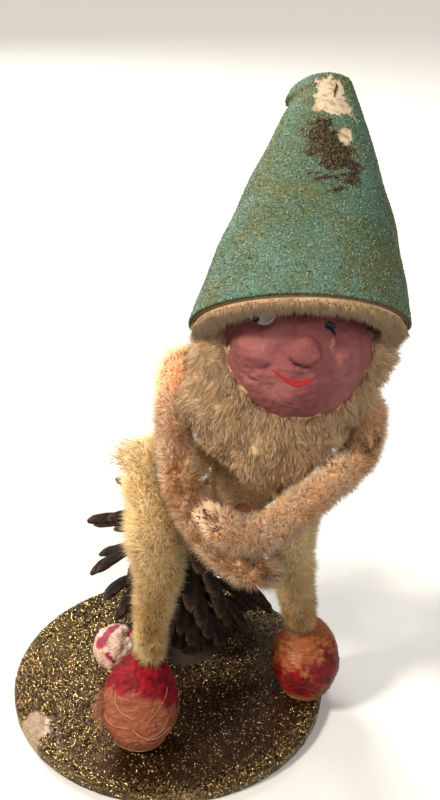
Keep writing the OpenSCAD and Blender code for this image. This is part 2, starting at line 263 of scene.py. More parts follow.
# Fits a value between low and high onto 0 to 1
def between(tree, fac, low, high):
    return add(tree, "MapRange", {"Value": fac, "From Min": low, "From Max": high},
               interpolation_type="SMOOTHSTEP").outputs["Result"]


# A blend of two colours, each of them a socket or three numbers
def mixed(tree, fac, a, b, how="MIX"):
    node = add(tree, "Mix", {"Factor": fac}, data_type="RGBA", blend_type=how)
    for key, v in (("A", a), ("B", b)):
        socket = [s for s in node.inputs if s.name == key and s.type == "RGBA"][0]
        if isinstance(v, bpy.types.NodeSocket):
            tree.links.new(v, socket)
        else:
            socket.default_value = colour(v)
    return [s for s in node.outputs if s.type == "RGBA"][0]


# A colour made lighter or darker by a factor
def shaded(tree, base, factor):
    grey = add(tree, "CombineColor", {0: factor, 1: factor, 2: factor}).outputs[0]
    return mixed(tree, 1.0, base, grey, "MULTIPLY")


# One arithmetic step
def maths(tree, how, a, b=0.5, c=0.5):
    return add(tree, "Math", {0: a, 1: b, 2: c}, operation=how).outputs[0]


# Small relief of so many millimetres
def bump(tree, shader, height, strength, distance):
    node = add(tree, "Bump", {"Height": height, "Strength": strength, "Distance": distance * mm})
    tree.links.new(node.outputs["Normal"], shader.inputs["Normal"])


# Pile and fur: painted shade darkens the root, the tip is pale; a little different on every strand, with
# stains
def fibreMaterial(name, look):
    material, tree, shader, place = newMaterial(name)
    shade = between(tree, value(tree, "height"), 0.1, 0.95)
    base = mixed(tree, shade, look["root"], look["tip"])
    patch = between(tree, noise(tree, place, look["patchSize"], 2), 0.42, 0.62)
    base = mixed(tree, maths(tree, "MULTIPLY", patch, look["patchStrength"]), base, look["patch"])
    stain = maths(tree, "MULTIPLY", value(tree, "stain"), look.get("stainStrength", 0.95))
    base = mixed(tree, stain, base, look["stain"])
    tint = maths(tree, "MULTIPLY_ADD", value(tree, "tint"), look["vary"], 1.0)
    base = shaded(tree, base, tint)
    base = mixed(tree, value(tree, "grime"), base, (0.025, 0.016, 0.012))
    tree.links.new(base, shader.inputs["Base Color"])
    shader.inputs["Roughness"].default_value = look["rough"]
    shader.inputs["Specular IOR Level"].default_value = 0.6
    shader.inputs["Sheen Weight"].default_value = look["sheen"]
    shader.inputs["Sheen Roughness"].default_value = 0.4
    shader.inputs["Sheen Tint"].default_value = colour(look["tip"])
    return material


# Wires and chenille limbs, on the construction's own routes, from the body outwards
rightLeg = {"name": "rightLeg", "seed": 31, "count": 30000, "dome": 0.4, "wireLead": (0.6, 0.1, -0.2),
            "wireEnd": (-4.9, -19.2, 14.6),
            "path": [(8, 0, 64), (2.5, -2, 66.3), (-4.2, -5, 66.6), (-4.8, -8, 63), (-2.8, -11, 57.5),
                     (-2.2, -13, 51.4), (-1.5, -14.6, 45), (-2.3, -15.9, 38.4), (-3.1, -16.7, 31),
                     (-3.5, -16.8, 23.4)],
            "radii": [4.3, 4.5, 5.4, 4.9, 6.2, 6.7, 5.7, 4.5, 3.8, 3.7],
            "parting": (0.7, 0.99), "partingSide": (0.05, -0.95, 0.3), "specks": 170,
            "tuft": {"place": (-6.2, -5.5, 67.6), "spread": (1.6, 1.6, 1.2), "aim": (-0.9, -0.1, 0.55),
                     "length": (1.5, 4.2), "count": 1500}}
leftLeg = {"name": "leftLeg", "seed": 32, "count": 23000, "dome": 0.4, "wireLead": (-0.5, 0.6, 0.3),
           "wireEnd": (33.1, -3.1, 13.7),
           "path": [(25.4, -4.4, 62.6), (28, -8.4, 60.8), (28, -9.8, 54.5), (27.5, -9, 47),
                    (28.4, -7.2, 39), (30.2, -5, 30.5), (31.2, -3.2, 22.6)],
           "radii": [4.3, 4.5, 4.9, 5.2, 4.7, 4.2, 3.7],
           "parting": (0.8, 0.99), "partingSide": (0.0, -0.95, 0.3), "specks": 150}
rightArm = {"name": "rightArm", "seed": 33, "count": 29000, "dome": 3.0, "wireLead": (0.1, 0, 0),
            "wireEnd": (24, -27.2, 53.6),
            "path": [(22.2, 9.2, 79.5), (13, 9, 81.5), (5, 4.8, 85), (1.6, -1.5, 87), (1.4, -7, 79.5),
                     (2.1, -11.5, 72.4), (3.9, -16.8, 66.4), (7.9, -21.5, 60.6), (11.8, -23.8, 57),
                     (16.4, -25.4, 54.3), (20.8, -26.4, 53.3)],
            "radii": [4.2] * 11,
            "parting": (0.56, 0.99), "partingSide": (0.15, -0.85, 0.5), "specks": 170,
            "knots": [((21.5, -30.2, 55.6), (0.9, 0.3, 0.8), 16), ((18.4, -30.4, 57.6), (0.7, 0.3, 0.6), 9)]}
leftArm = {"name": "leftArm", "seed": 34, "count": 29000, "dome": 3.0, "wireLead": (-0.1, 0, 0),
           "wireEnd": (8.3, -29.8, 70),
           "path": [(22.8, 9.2, 79.5), (32, 9, 79.8), (39, 5.2, 80.6), (42.3, -1.2, 79.2), (42.2, -6.3, 75.9),
                    (39.8, -10.8, 72.3), (34.6, -15.6, 69.2), (28.4, -21.2, 66.5), (22.4, -25.6, 63.7),
                    (16.8, -27.8, 62.8), (12.5, -28.6, 65.1), (10.1, -29, 67.5)],
           "radii": [4.2] * 12,
           "parting": (0.4, 0.52), "partingSide": (0.5, -0.6, 0.6), "specks": 110,
           "knots": [((8.6, -31.6, 70.4), (0.8, 0.4, 1.1), 22), ((10.6, -33.0, 67.6), (0.5, 0.3, 0.7), 9)]}
chestTurn = {"name": "torsoWrap", "seed": 35, "count": 9000, "dome": 1.0, "pile": 2.4, "at": 0.76,
             "start": 10, "sweep": 210}

pile = {"bodyShare": 0.66, "rootShare": 0.55, "reach": 1.12, "width": 0.085, "lean": 0.42, "clump": 1.2,
        "rows": 140, "sides": 20}


# Pile: needles stand on the limb's line at random turns and lean with a lumpy field, so that they
# gather in tufts; near an open end they fan out, and at a parting they are short and stained.
def chenillePart(limb):
    draw = np.random.default_rng(limb["seed"])
    rows, sides = pile["rows"], pile["sides"]
    raw = smoothCurve(limb["path"], 8)
    rawRadius = smoothCurve(limb["radii"], 8)
    path, length = evenCurve(raw, rows)
    gone = np.concatenate([[0], np.cumsum(np.linalg.norm(np.diff(raw, axis=0), axis=1))])
    radius = np.interp(np.linspace(0, gone[-1], rows), gone, rawRadius)
    tangent, side, third = pathFrame(path)
    wave = lumps(path, 5, limb["seed"] + 5) * 0.05 + 1
    toTip = np.linspace(length, 0, rows) / limb["dome"]
    endDome = np.sqrt(np.clip(1 - (1 - toTip).clip(0, 1) ** 2, 0.02, 1))
    grid = tubeGrid(path, (radius * wave * endDome)[:, None] * pile["bodyShare"], sides)
    grid = grid + lumps(grid, 1.4, limb["seed"])[..., None] * 0.16 * unit(grid - path[:, None])
    points, faces = closedSurface(grid)
    body = {"points": points, "faces": faces, "height": 0.45, "tint": lumps(points, 1.2, 3) * 0.5}
    n = limb["count"]
    s = draw.uniform(0, 1, n)
    k = s * (rows - 1)
    i = np.minimum(k.astype(int), rows - 2)
    f = (k - i)[:, None]

    # the value of a row of numbers or vectors at each needle's own share
    def at(row):
        row = row if row.ndim == 2 else row[:, None]
        return row[i] * (1 - f) + row[i + 1] * f

    centre, t, u, v = at(path), unit(at(tangent)), unit(at(side)), unit(at(third))
    r = at(radius * wave)[:, 0]
    a = draw.uniform(0, 2 * math.pi, n)
    out = np.cos(a)[:, None] * u + np.sin(a)[:, None] * v
    around = np.cross(t, out)
    seat = centre + out * (r * 0.8)[:, None]
    leanA = lumps(seat, pile["clump"], limb["seed"] + 1) * pile["lean"] + draw.normal(0, 0.16, n)
    leanB = lumps(seat, pile["clump"] * 1.3, limb["seed"] + 2) * pile["lean"] + draw.normal(0, 0.16, n)
    toEnd = (1 - s) * length
    fan = fade(-toEnd, -limb["dome"] - 0.4, 0) * 0.72 * limb["dome"]
    toAxis = 0.35 + 0.65 * fade(toEnd, 0, limb["dome"])
    direction = unit(out + t * (leanA + fan)[:, None] + around * leanB[:, None])
    partingSide = np.array(limb["partingSide"])
    ahead = unit(partingSide - (t @ partingSide)[:, None] * t)
    facing = (out * ahead).sum(1)
    low, high = limb["parting"]
    inPart = fade(s, low, low + 0.05) * fade(-s, -high, -high + 0.04) * fade(facing, 0.95, 0.995)
    uneven = draw.normal(0, 0.08, n) + 0.07 * lumps(seat, 1.8, limb["seed"] + 3)
    reach = r * (pile["reach"] + uneven) * (1 - 0.22 * inPart)
    reach = reach - r * 0.1 * fade(-s * length, -1.2, 0)
    root = centre + out * (r * pile["rootShare"] * toAxis)[:, None]
    tip = centre + direction * reach[:, None]
    stain = limb["stain"](seat, s) if "stain" in limb else np.zeros(n)
    stain = np.clip(stain + 0.75 * inPart, 0, 1)
    # painted highlight: strands paler where the light falls
    pale = limb["pale"](s) if "pale" in limb else 0
    part = strandPart(root, tip, draw.uniform(0.7, 1.2, n) * pile["width"], draw.normal(0, 0.5, n) + pale)
    part["stain"] = np.repeat(stain, 4)
    if "stain" in limb:
        bodyShare = np.append(np.repeat(np.linspace(0, 1, rows), sides), [0, 1])
        body["stain"] = np.clip(limb["stain"](points, bodyShare), 0, 1)
    # dark dashes of wire and dust that show along the parting, most of them on its middle line
    m = limb["specks"]
    pick = np.argsort(-(inPart * 6 + draw.uniform(0, 0.9, n) + 0.7 * lumps(seat, 3.0, limb["seed"] + 7)))[:m]
    spot = centre[pick] + direction[pick] * (reach[pick] * draw.uniform(0.9, 1.0, m))[:, None]
    dash = unit(t[pick] * 1.6 + draw.normal(size=(m, 3)) * 0.5) * draw.uniform(0.25, 1.0, m)[:, None]
    specks = strandPart(spot - dash * 0.5, spot + dash * 0.5, draw.uniform(0.06, 0.15, m), np.zeros(m))
    specks["grime"] = 1.0
    parts = [body, part, specks]
    for place, spread, q in limb.get("knots", ()):
        seat = np.array(place) + draw.normal(0, 1, (q, 3)) * np.array(spread)
        bent = unit(draw.normal(size=(q, 3)) + np.array([0.8, 0, -0.6])) * draw.uniform(0.5, 1.5, q)[:, None]
        knot = strandPart(seat - bent * 0.5, seat + bent * 0.5, draw.uniform(0.1, 0.24, q),
                          np.zeros(q), draw.normal(0, 0.2, (q, 3)))
        parts.append(dict(knot, grime=1.0))
    if "tuft" in limb:
        tuft = limb["tuft"]
        q = tuft["count"]
        seat = np.array(tuft["place"]) + draw.normal(0, 1, (q, 3)) * np.array(tuft["spread"])
        lie = unit(np.array(tuft["aim"]) + draw.normal(0, 0.35, (q, 3)))
        parts.append(strandPart(seat, seat + lie * draw.uniform(*tuft["length"], q)[:, None],
                                draw.uniform(0.7, 1.2, q) * pile["width"], draw.normal(0, 0.5, q)))
    return joinParts(parts)


# Twisted wire: two round strands, each offset from the route by its own radius and turned along it
twist = {"strand": 0.3, "pitch": 2.4, "steps": 9}


def wirePart(limb):
    ends = [np.add(limb["path"][0], limb["wireLead"])] + list(limb["path"]) + [limb["wireEnd"]]
    smooth = smoothCurve(ends, 8)
    length = evenCurve(smooth, 2)[1]
    path = evenCurve(smooth, int(length / twist["pitch"] * twist["steps"]))[0]
    tangent, side, third = pathFrame(path)
    turn = np.linspace(0, length / twist["pitch"] * 2 * math.pi, len(path))
    parts = []
    for half in (0, math.pi):
        line = path + twist["strand"] * (np.cos(turn + half)[:, None] * side
                                         + np.sin(turn + half)[:, None] * third)
        points, faces = closedSurface(tubeGrid(line, np.full(len(line), twist["strand"] * 0.92), 6))
        parts.append({"points": points, "faces": faces})
    return joinParts(parts)


# Dull steel with rusty spots
def wireMaterial():
    material, tree, shader, place = newMaterial("dullWire")
    spots = between(tree, noise(tree, place, 0.8), 0.45, 0.65)
    tree.links.new(mixed(tree, spots, (0.05, 0.045, 0.045), (0.16, 0.09, 0.05)), shader.inputs["Base Color"])
    tree.links.new(maths(tree, "MULTIPLY_ADD", spots, 0.3, 0.35), shader.inputs["Roughness"])
    shader.inputs["Metallic"].default_value = 0.8
    bump(tree, shader, noise(tree, place, 0.3), 0.4, 0.05)
    return material


# The right forearm is stained orange-brown from the elbow to the hand
def rightArmStain(points, s):
    cloudy = 0.52 + 0.5 * lumps(points, 5, 71) + 0.3 * lumps(points, 1.6, 72)
    return fade(s, 0.36, 0.56) * np.clip(cloudy, 0, 1)


# exp(-(distance from the elbow / 0.05)^2) and a little more towards the hand
def leftArmStain(points, s):
    elbow = np.exp(-((s - 0.47) / 0.05) ** 2)
    hand = (0.16 + 0.25 * lumps(points, 3, 74)) * fade(s, 0.5, 0.7)
    return np.clip(elbow * (0.45 + 0.5 * lumps(points, 3, 73)) + hand, 0, 1)


# Growing from a third of the way down, as strong as its clouds
def legStain(points, s):
    cloudy = 0.6 + 0.4 * lumps(points, 5, 75) + 0.2 * lumps(points, 1.5, 76)
    return fade(s, 0.35, 0.85) * np.clip(cloudy, 0, 1)


# Painted highlight: the upper right arm and the knee, where the light falls, are made the palest places
def armPaintedHighlight(s):
    return 2.0 * fade(-s, -0.52, -0.36)


# Painted highlight on the knee: full before a third of the way, none after two thirds
def kneePaintedHighlight(s):
    return 1.1 * fade(-s, -0.66, -0.36)


# painted highlights where the light falls on the upper right arm and the right knee
rightArm["pale"] = armPaintedHighlight
rightLeg["pale"] = kneePaintedHighlight
rightArm["stain"] = rightArmStain
leftArm["stain"] = leftArmStain
rightLeg["stain"] = legStain
leftLeg["stain"] = legStain

armLook = {"root": (0.56, 0.27, 0.10), "tip": (0.99, 0.75, 0.52), "patch": (0.88, 0.46, 0.19), "patchSize": 7,
           "patchStrength": 0.45, "stain": (0.36, 0.13, 0.02), "vary": 0.34, "rough": 0.32, "sheen": 0.3}
legLook = {"root": (0.52, 0.30, 0.09), "tip": (0.97, 0.79, 0.46), "patch": (0.80, 0.51, 0.16), "patchSize": 8,
           "patchStrength": 0.5, "stain": (0.43, 0.19, 0.02), "vary": 0.3, "rough": 0.32, "sheen": 0.3}
# A darker copy of the arm chenille for the chest turn: painted shade on the pile between the arm and the
# beard
wrapShadedLook = dict(armLook, tip=(0.6, 0.34, 0.22), root=(0.25, 0.12, 0.07))

print("limbs")
armPile = fibreMaterial("armChenille", armLook)
legPile = fibreMaterial("legChenille", legLook)
dullWire = wireMaterial()
for limb, look, slot, node in ((rightLeg, legPile, "leg_chenille", "right_leg"),
                               (leftLeg, legPile, "leg_chenille", "left_leg"),
                               (rightArm, armPile, "arm_chenille", "right_arm"),
                               (leftArm, armPile, "arm_chenille", "left_arm")):
    makePiece(limb["name"] + "Chenille", chenillePart(limb), look, [node + "_chenille"])
    makePiece(limb["name"] + "Wire", wirePart(limb), dullWire, [node + "_wire"])

# The body's line from hip to neck, and its half thickness at the belly
spine = {"hip": (14, 3.5, 50), "neck": (24.6, -2, 80.2), "belly": 10.2}


# Foot of the line, the line itself, and two directions square to it
def spineFrame():
    hip = np.array(spine["hip"])
    line = np.array(spine["neck"]) - hip
    along = unit(line)
    side = unit(np.array([1.0, 0, 0]) - along[0] * along)
    return hip, line, side, np.cross(along, side)


# belly * sin(18 + 128 s)^0.75 * (1 - 0.12 s)
def torsoRadius(s):
    return spine["belly"] * np.sin(np.radians(18 + 128 * s)) ** 0.75 * (1 - 0.12 * s)


torso = {"rows": 70, "cols": 96, "fluff": 9000, "seed": 41}


# Torso: the egg of the construction with felted lumps and short fluff
def torsoPart():
    hip, line, side, third = spineFrame()
    s = np.linspace(0, 1, torso["rows"])
    a = np.arange(torso["cols"]) * 2 * math.pi / torso["cols"]
    out = np.cos(a)[:, None] * side + np.sin(a)[:, None] * third
    grid = hip + s[:, None, None] * line + torsoRadius(s)[:, None, None] * out[None]
    lift = lumps(grid, 4, 42) * 0.25 + lumps(grid, 1.3, 43) * 0.14 - 0.3
    grid = grid + lift[..., None] * out[None]
    points, faces = closedSurface(grid)
    body = {"points": points, "faces": faces, "height": 0.55, "tint": lumps(points, 1, 44) * 0.6}
    draw = np.random.default_rng(torso["seed"])
    n = torso["fluff"]
    row, col = draw.integers(2, torso["rows"] - 2, n), draw.integers(0, torso["cols"], n)
    root = grid[row, col] + draw.normal(0, 0.12, (n, 3))
    lie = unit(out[col] * 0.5 + unit(line) * (lumps(root, 2, 45) * 0.8 - 0.3)[:, None]
               + draw.normal(0, 0.5, (n, 3)))
    tip = root + lie * draw.uniform(0.6, 1.4, n)[:, None]
    fluff = strandPart(root - out[col] * 0.2, tip, draw.uniform(0.04, 0.08, n), draw.normal(0, 0.5, n))
    return joinParts([body, fluff])


torsoLook = {"root": (0.50, 0.28, 0.12), "tip": (0.86, 0.59, 0.34), "patch": (0.58, 0.33, 0.14),
             "patchSize": 5, "patchStrength": 0.6, "stain": (0.3, 0.15, 0.06), "vary": 0.2,
             "rough": 0.75, "sheen": 0.2}
print("body")
makePiece("torsoCotton", torsoPart(), fibreMaterial("torsoCotton", torsoLook), ["torso"])


# A limb that runs round the chest: a part circle about the spine, just outside the torso
def chestTurnLimb():
    hip, line, side, third = spineFrame()
    at = chestTurn["at"]
    turn = np.radians(chestTurn["start"] + np.linspace(0, chestTurn["sweep"], 12))
    r = torsoRadius(at) + 2.6
    centre = hip + at * line
    path = centre + r * (np.cos(turn)[:, None] * side + np.sin(turn)[:, None] * third)
    return dict(chestTurn, path=path, radii=[chestTurn["pile"]] * 12, parting=(2, 3), partingSide=(0, 0, 1),
                specks=0)


# painted shade: the chest turn wears the darker copy of the arm chenille
makePiece("torsoWrap", chenillePart(chestTurnLimb()), fibreMaterial("wrapChenilleShaded", wrapShadedLook),
          ["torso_wrap"])

# Head: a ball with a nose, cheeks, eye hollows, a chin and smile creases raised as round bumps
head = {"place": (26.1, -7, 95.5), "radius": 14.8, "rows": 150, "cols": 190}
# direction from the middle of the head, height in mm, width in mm
headBumps = [((0.03, -0.955, 0.29), 0.5, 3.4), ((-0.12, -0.965, 0.23), 0.8, 1.2),
             ((0.19, -0.95, 0.24), 0.8, 1.2), ((-0.01, -0.85, 0.52), 0.8, 2.0),
             ((-0.70, -0.67, 0.25), 1.3, 3.6), ((-0.53, -0.82, 0.22), 0.7, 2.4),
             ((0.60, -0.78, 0.19), 1.3, 3.4), ((-0.53, -0.62, 0.58), -1.0, 2.4),
             ((0.37, -0.75, 0.55), -1.0, 2.2), ((-0.03, -0.90, -0.43), 1.0, 3.6),
             ((-0.12, -0.99, 0.02), 0.5, 1.6), ((-0.06, -0.97, -0.22), 0.4, 1.5),
             ((-0.45, -0.89, 0.02), -0.4, 1.2), ((0.26, -0.965, -0.03), -0.4, 1.2),
             ((-0.33, -0.91, 0.25), -0.9, 1.5), ((0.36, -0.91, 0.20), -0.6, 1.3),
             ((-0.05, -0.78, 0.63), 0.5, 3.0)]
# start and end of a crease, its depth and its half width
headCreases = [((-0.72, -0.66, -0.20), (-0.40, -0.91, 0.06), 0.35, 0.5),
               ((0.34, -0.935, 0.02), (0.60, -0.79, -0.10), 0.3, 0.5),
               ((-0.16, -0.98, 0.20), (-0.067, -0.987, 0.13), 0.7, 0.4),
               ((-0.067, -0.987, 0.13), (0.06, -0.99, 0.105), 0.8, 0.4),
               ((0.06, -0.99, 0.105), (0.19, -0.97, 0.17), 0.5, 0.4),
               ((-0.66, -0.72, -0.20), (-0.56, -0.80, -0.205), 1.0, 0.3),
               ((0.40, -0.81, 0.42), (0.34, -0.89, 0.30), 0.4, 0.35)]
nose = {"aim": (0.027, -0.957, 0.29), "width": 2.9, "height": 2.0}


# Point of the head's surface in a direction: radius + each bump's height * exp(-(distance / width)^2), and a
# round nose of height * sqrt(1 - (distance / width)^2)
def headPoint(direction):
    d = unit(direction)
    r = np.full(d.shape[:-1], head["radius"])
    for aim, height, width in headBumps:
        apart = np.linalg.norm(d - unit(np.array(aim)), axis=-1) * head["radius"]
        r = r + height * np.exp(-(apart / width) ** 2)
    for start, finish, depth, width in headCreases:
        apart = offLine(d, start, finish) * head["radius"]
        r = r - depth * np.exp(-(apart / width) ** 2)
    off = np.linalg.norm(d - unit(np.array(nose["aim"])), axis=-1) * head["radius"] / nose["width"]
    r = r + nose["height"] * np.sqrt(np.clip(1 - off ** 2, 0, 1))
    ball = d * head["radius"]
    grain = lumps(ball, 6, 51) * 0.2 + lumps(ball, 1.8, 52) * 0.09
    return np.array(head["place"]) + d * (r + grain)[..., None]


# The ball seen from a tilted crown, rows by polar angle and columns by turn, with painted shade in its
# creases
def headPart():
    tilt = math.radians(30)
    crown = np.array([0, math.sin(tilt), math.cos(tilt)])
    side = np.array([1.0, 0, 0])
    polar = np.linspace(math.pi - 0.02, 0.02, head["rows"])[:, None, None]
    a = (np.arange(head["cols"]) * 2 * math.pi / head["cols"])[None, :, None]
    d = np.cos(polar) * crown + np.sin(polar) * (np.cos(a) * side + np.sin(a) * np.cross(crown, side))
    points, faces = closedSurface(headPoint(d))
    ray = unit(points - np.array(head["place"]))
    creaseShade = np.zeros(len(points))
    for start, finish, depth, width in headCreases:
        apart = offLine(ray, start, finish) * head["radius"]
        creaseShade = np.maximum(creaseShade, depth * np.exp(-(apart / (width * 0.8)) ** 2))
    return {"points": points, "faces": faces, "creaseShade": creaseShade}


# Matt red-brown paint with mauve clouds, worn pale spots, dark specks and painted shade in the creases
def faceMaterial():
    material, tree, shader, place = newMaterial("faceCotton")
    broad = between(tree, noise(tree, place, 9, 3), 0.38, 0.62)
    base = mixed(tree, broad, (0.33, 0.095, 0.095), (0.44, 0.15, 0.14))
    mauve = between(tree, noise(tree, place, 4, 5, 0.6, warp=0.6), 0.5, 0.68)
    base = mixed(tree, maths(tree, "MULTIPLY", mauve, 0.5), base, (0.20, 0.05, 0.065))
    worn = between(tree, noise(tree, place, 1.1, 6, 0.7), 0.6, 0.74)
    base = mixed(tree, maths(tree, "MULTIPLY", worn, 0.6), base, (0.62, 0.30, 0.26))
    speck = between(tree, noise(tree, place, 0.5, 4, 0.7), 0.67, 0.74)
    base = mixed(tree, maths(tree, "MULTIPLY", speck, 0.7), base, (0.16, 0.07, 0.07))
    # painted shade darkens the creases
    base = mixed(tree, between(tree, value(tree, "creaseShade"), 0.05, 1.0), base, (0.06, 0.02, 0.024))
    tree.links.new(base, shader.inputs["Base Color"])
    shader.inputs["Roughness"].default_value = 0.62
    shader.inputs["Specular IOR Level"].default_value = 0.3
    crack = add(tree, "TexVoronoi", {"Vector": place, "Scale": 900, "Randomness": 1.0},
                feature="DISTANCE_TO_EDGE").outputs["Distance"]
    split = maths(tree, "MULTIPLY", between(tree, crack, 0.0, 0.08), 0.05)
    height = maths(tree, "ADD", split, noise(tree, place, 0.9, 6, 0.7))
    bump(tree, shader, height, 1.0, 0.5)
    return material


# Paint on the head: a strip about a line of directions, so wide at each place, laid just above the surface
def paintPart(strip, lift=0.05, steps=10, across=6):
    middle = unit(smoothCurve(strip["line"], steps))
    half = smoothCurve(strip["half"], steps) / head["radius"]
    normal = unit(np.cross(np.gradient(middle, axis=0), middle))
    t = np.linspace(-1, 1, across + 1)
    d = middle[:, None] + (half[:, None] * t)[..., None] * normal[:, None]
    top = headPoint(d)
    outwards = unit(top - np.array(head["place"]))
    edge = 1 - np.abs(t) ** 6
    upper = top + outwards * (lift * (0.4 + 0.6 * edge))[None, :, None]
    lower = top[:, ::-1] - outwards[:, ::-1] * 0.12
    points, faces = closedSurface(np.concatenate([upper, lower], 1))
    return {"points": points, "faces": faces}


# Brushed paint, rubbed through in spots
def paintMaterial(name, main, worn, rough):
    material, tree, shader, place = newMaterial(name)
    rub = between(tree, noise(tree, place, 0.6, 5, 0.7), 0.5, 0.72)
    tree.links.new(mixed(tree, rub, main, worn), shader.inputs["Base Color"])
    tree.links.new(maths(tree, "MULTIPLY_ADD", rub, 0.25, rough), shader.inputs["Roughness"])
    bump(tree, shader, noise(tree, place, 0.5, 4), 0.3, 0.1)
    return material


print("head")
makePiece("headBall", headPart(), faceMaterial(), ["head"])
mouth = {"line": [(-0.387, -0.922, 0.022), (-0.271, -0.962, -0.041), (-0.142, -0.984, -0.104),
                  (-0.041, -0.993, -0.112),
                  (0.06, -0.993, -0.098), (0.173, -0.983, -0.053)],
         "half": [0.06, 0.42, 0.62, 0.7, 0.55, 0.1]}
eyeWhite = {"line": [(-0.61, -0.55, 0.57), (-0.54, -0.595, 0.60), (-0.45, -0.63, 0.64), (-0.36, -0.65, 0.68)],
            "half": [0.7, 1.3, 1.5, 0.8]}
rightPupil = {"line": [(-0.70, -0.45, 0.56), (-0.64, -0.52, 0.565), (-0.585, -0.575, 0.57)],
              "half": [0.5, 0.85, 0.6]}
leftPupil = {"line": [(0.28, -0.765, 0.58), (0.35, -0.74, 0.575), (0.43, -0.71, 0.56)],
             "half": [0.4, 0.95, 0.5]}
leftDrip = {"line": [(0.37, -0.755, 0.54), (0.40, -0.77, 0.50), (0.425, -0.785, 0.455)],
            "half": [0.6, 0.45, 0.15]}
scar = {"line": [(0.385, -0.815, 0.43), (0.375, -0.85, 0.37), (0.345, -0.885, 0.31)],
        "half": [0.35, 0.55, 0.25]}
redPaint = paintMaterial("lipPaint", (0.42, 0.008, 0.01), (0.34, 0.03, 0.03), 0.35)
darkPaint = paintMaterial("eyePaint", (0.012, 0.014, 0.03), (0.05, 0.035, 0.04), 0.4)
whitePaint = paintMaterial("eyeWhite", (0.74, 0.70, 0.62), (0.6, 0.5, 0.42), 0.5)
scarPaint = paintMaterial("scarPaint", (0.50, 0.17, 0.15), (0.36, 0.10, 0.09), 0.5)
for name, strip, lift, material in (("mouthPaint", mouth, 0.05, redPaint),
                                    ("rightEyeWhite", eyeWhite, 0.05, whitePaint),
                                    ("rightPupil", rightPupil, 0.1, darkPaint),
                                    ("leftPupil", leftPupil, 0.07, darkPaint),
                                    ("cheekScar", scar, 0.12, scarPaint),
                                    ("leftEyeDrip", leftDrip, 0.06, darkPaint)):
    makePiece(name, paintPart(strip, lift), material)

# Fur is grown on a soft form: the construction's solid is copied, rounded off and covered with strands.
# faceAim is the way the face looks, and the hairs part from it.
faceAim = np.array([-0.03, -0.92, 0.39])
furSets = {
    "beard": {"node": "beard", "seed": 61, "count": 47000, "locks": 16000, "length": (1.3, 2.6),
              "width": 0.055, "voxel": 0.7,
              "shrink": 1.3, "slim": 1.3, "lift": 2.6, "puff": 3.6,
              "down": 0.7, "away": 0.4, "out": 0.5, "clump": 6},
    "nape": {"node": "nape_fur", "seed": 62, "count": 11000, "locks": 0, "length": (2.0, 3.4),
             "width": 0.08, "voxel": 0.6,
             "shrink": 0.4, "slim": 0.0, "lift": 0.8, "puff": 0.0,
             "down": 0.8, "away": 0.1, "out": 0.5, "clump": 4}}


# Triangles of a CAD node's copy after welding, voxel remeshing and smoothing, in millimetres
def softForm(node, voxel, shrink):
    mesh = nodes[node].data.copy()
    obj = bpy.data.objects.new("form", mesh)
    bpy.context.scene.collection.objects.link(obj)
    bm = bmesh.new()
    bm.from_mesh(mesh)
    bmesh.ops.remove_doubles(bm, verts=bm.verts, dist=1e-6)
    bm.to_mesh(mesh)
    bm.free()
    remesh = obj.modifiers.new("even", "REMESH")
    remesh.mode = "VOXEL"
    remesh.voxel_size = voxel * mm
    soften = obj.modifiers.new("round", "SMOOTH")
    soften.factor, soften.iterations = 0.6, 14
    obj.modifiers.new("triangles", "TRIANGULATE")
    done = obj.evaluated_get(bpy.context.evaluated_depsgraph_get()).to_mesh()
    points = np.zeros(len(done.vertices) * 3, np.float32)
    done.vertices.foreach_get("co", points)
    normals = np.zeros(len(done.vertices) * 3, np.float32)
    done.vertices.foreach_get("normal", normals)
    faces = np.zeros(len(done.polygons) * 3, np.int32)
    done.polygons.foreach_get("vertices", faces)
    bpy.data.objects.remove(obj)
    points, normals = points.reshape(-1, 3).astype(float) / mm, normals.reshape(-1, 3).astype(float)
    outward = fade((unit(points - np.array(head["place"])) * normals).sum(1), -0.2, 0.4)
    return points - normals * (shrink * outward)[:, None], normals, faces.reshape(-1, 3)


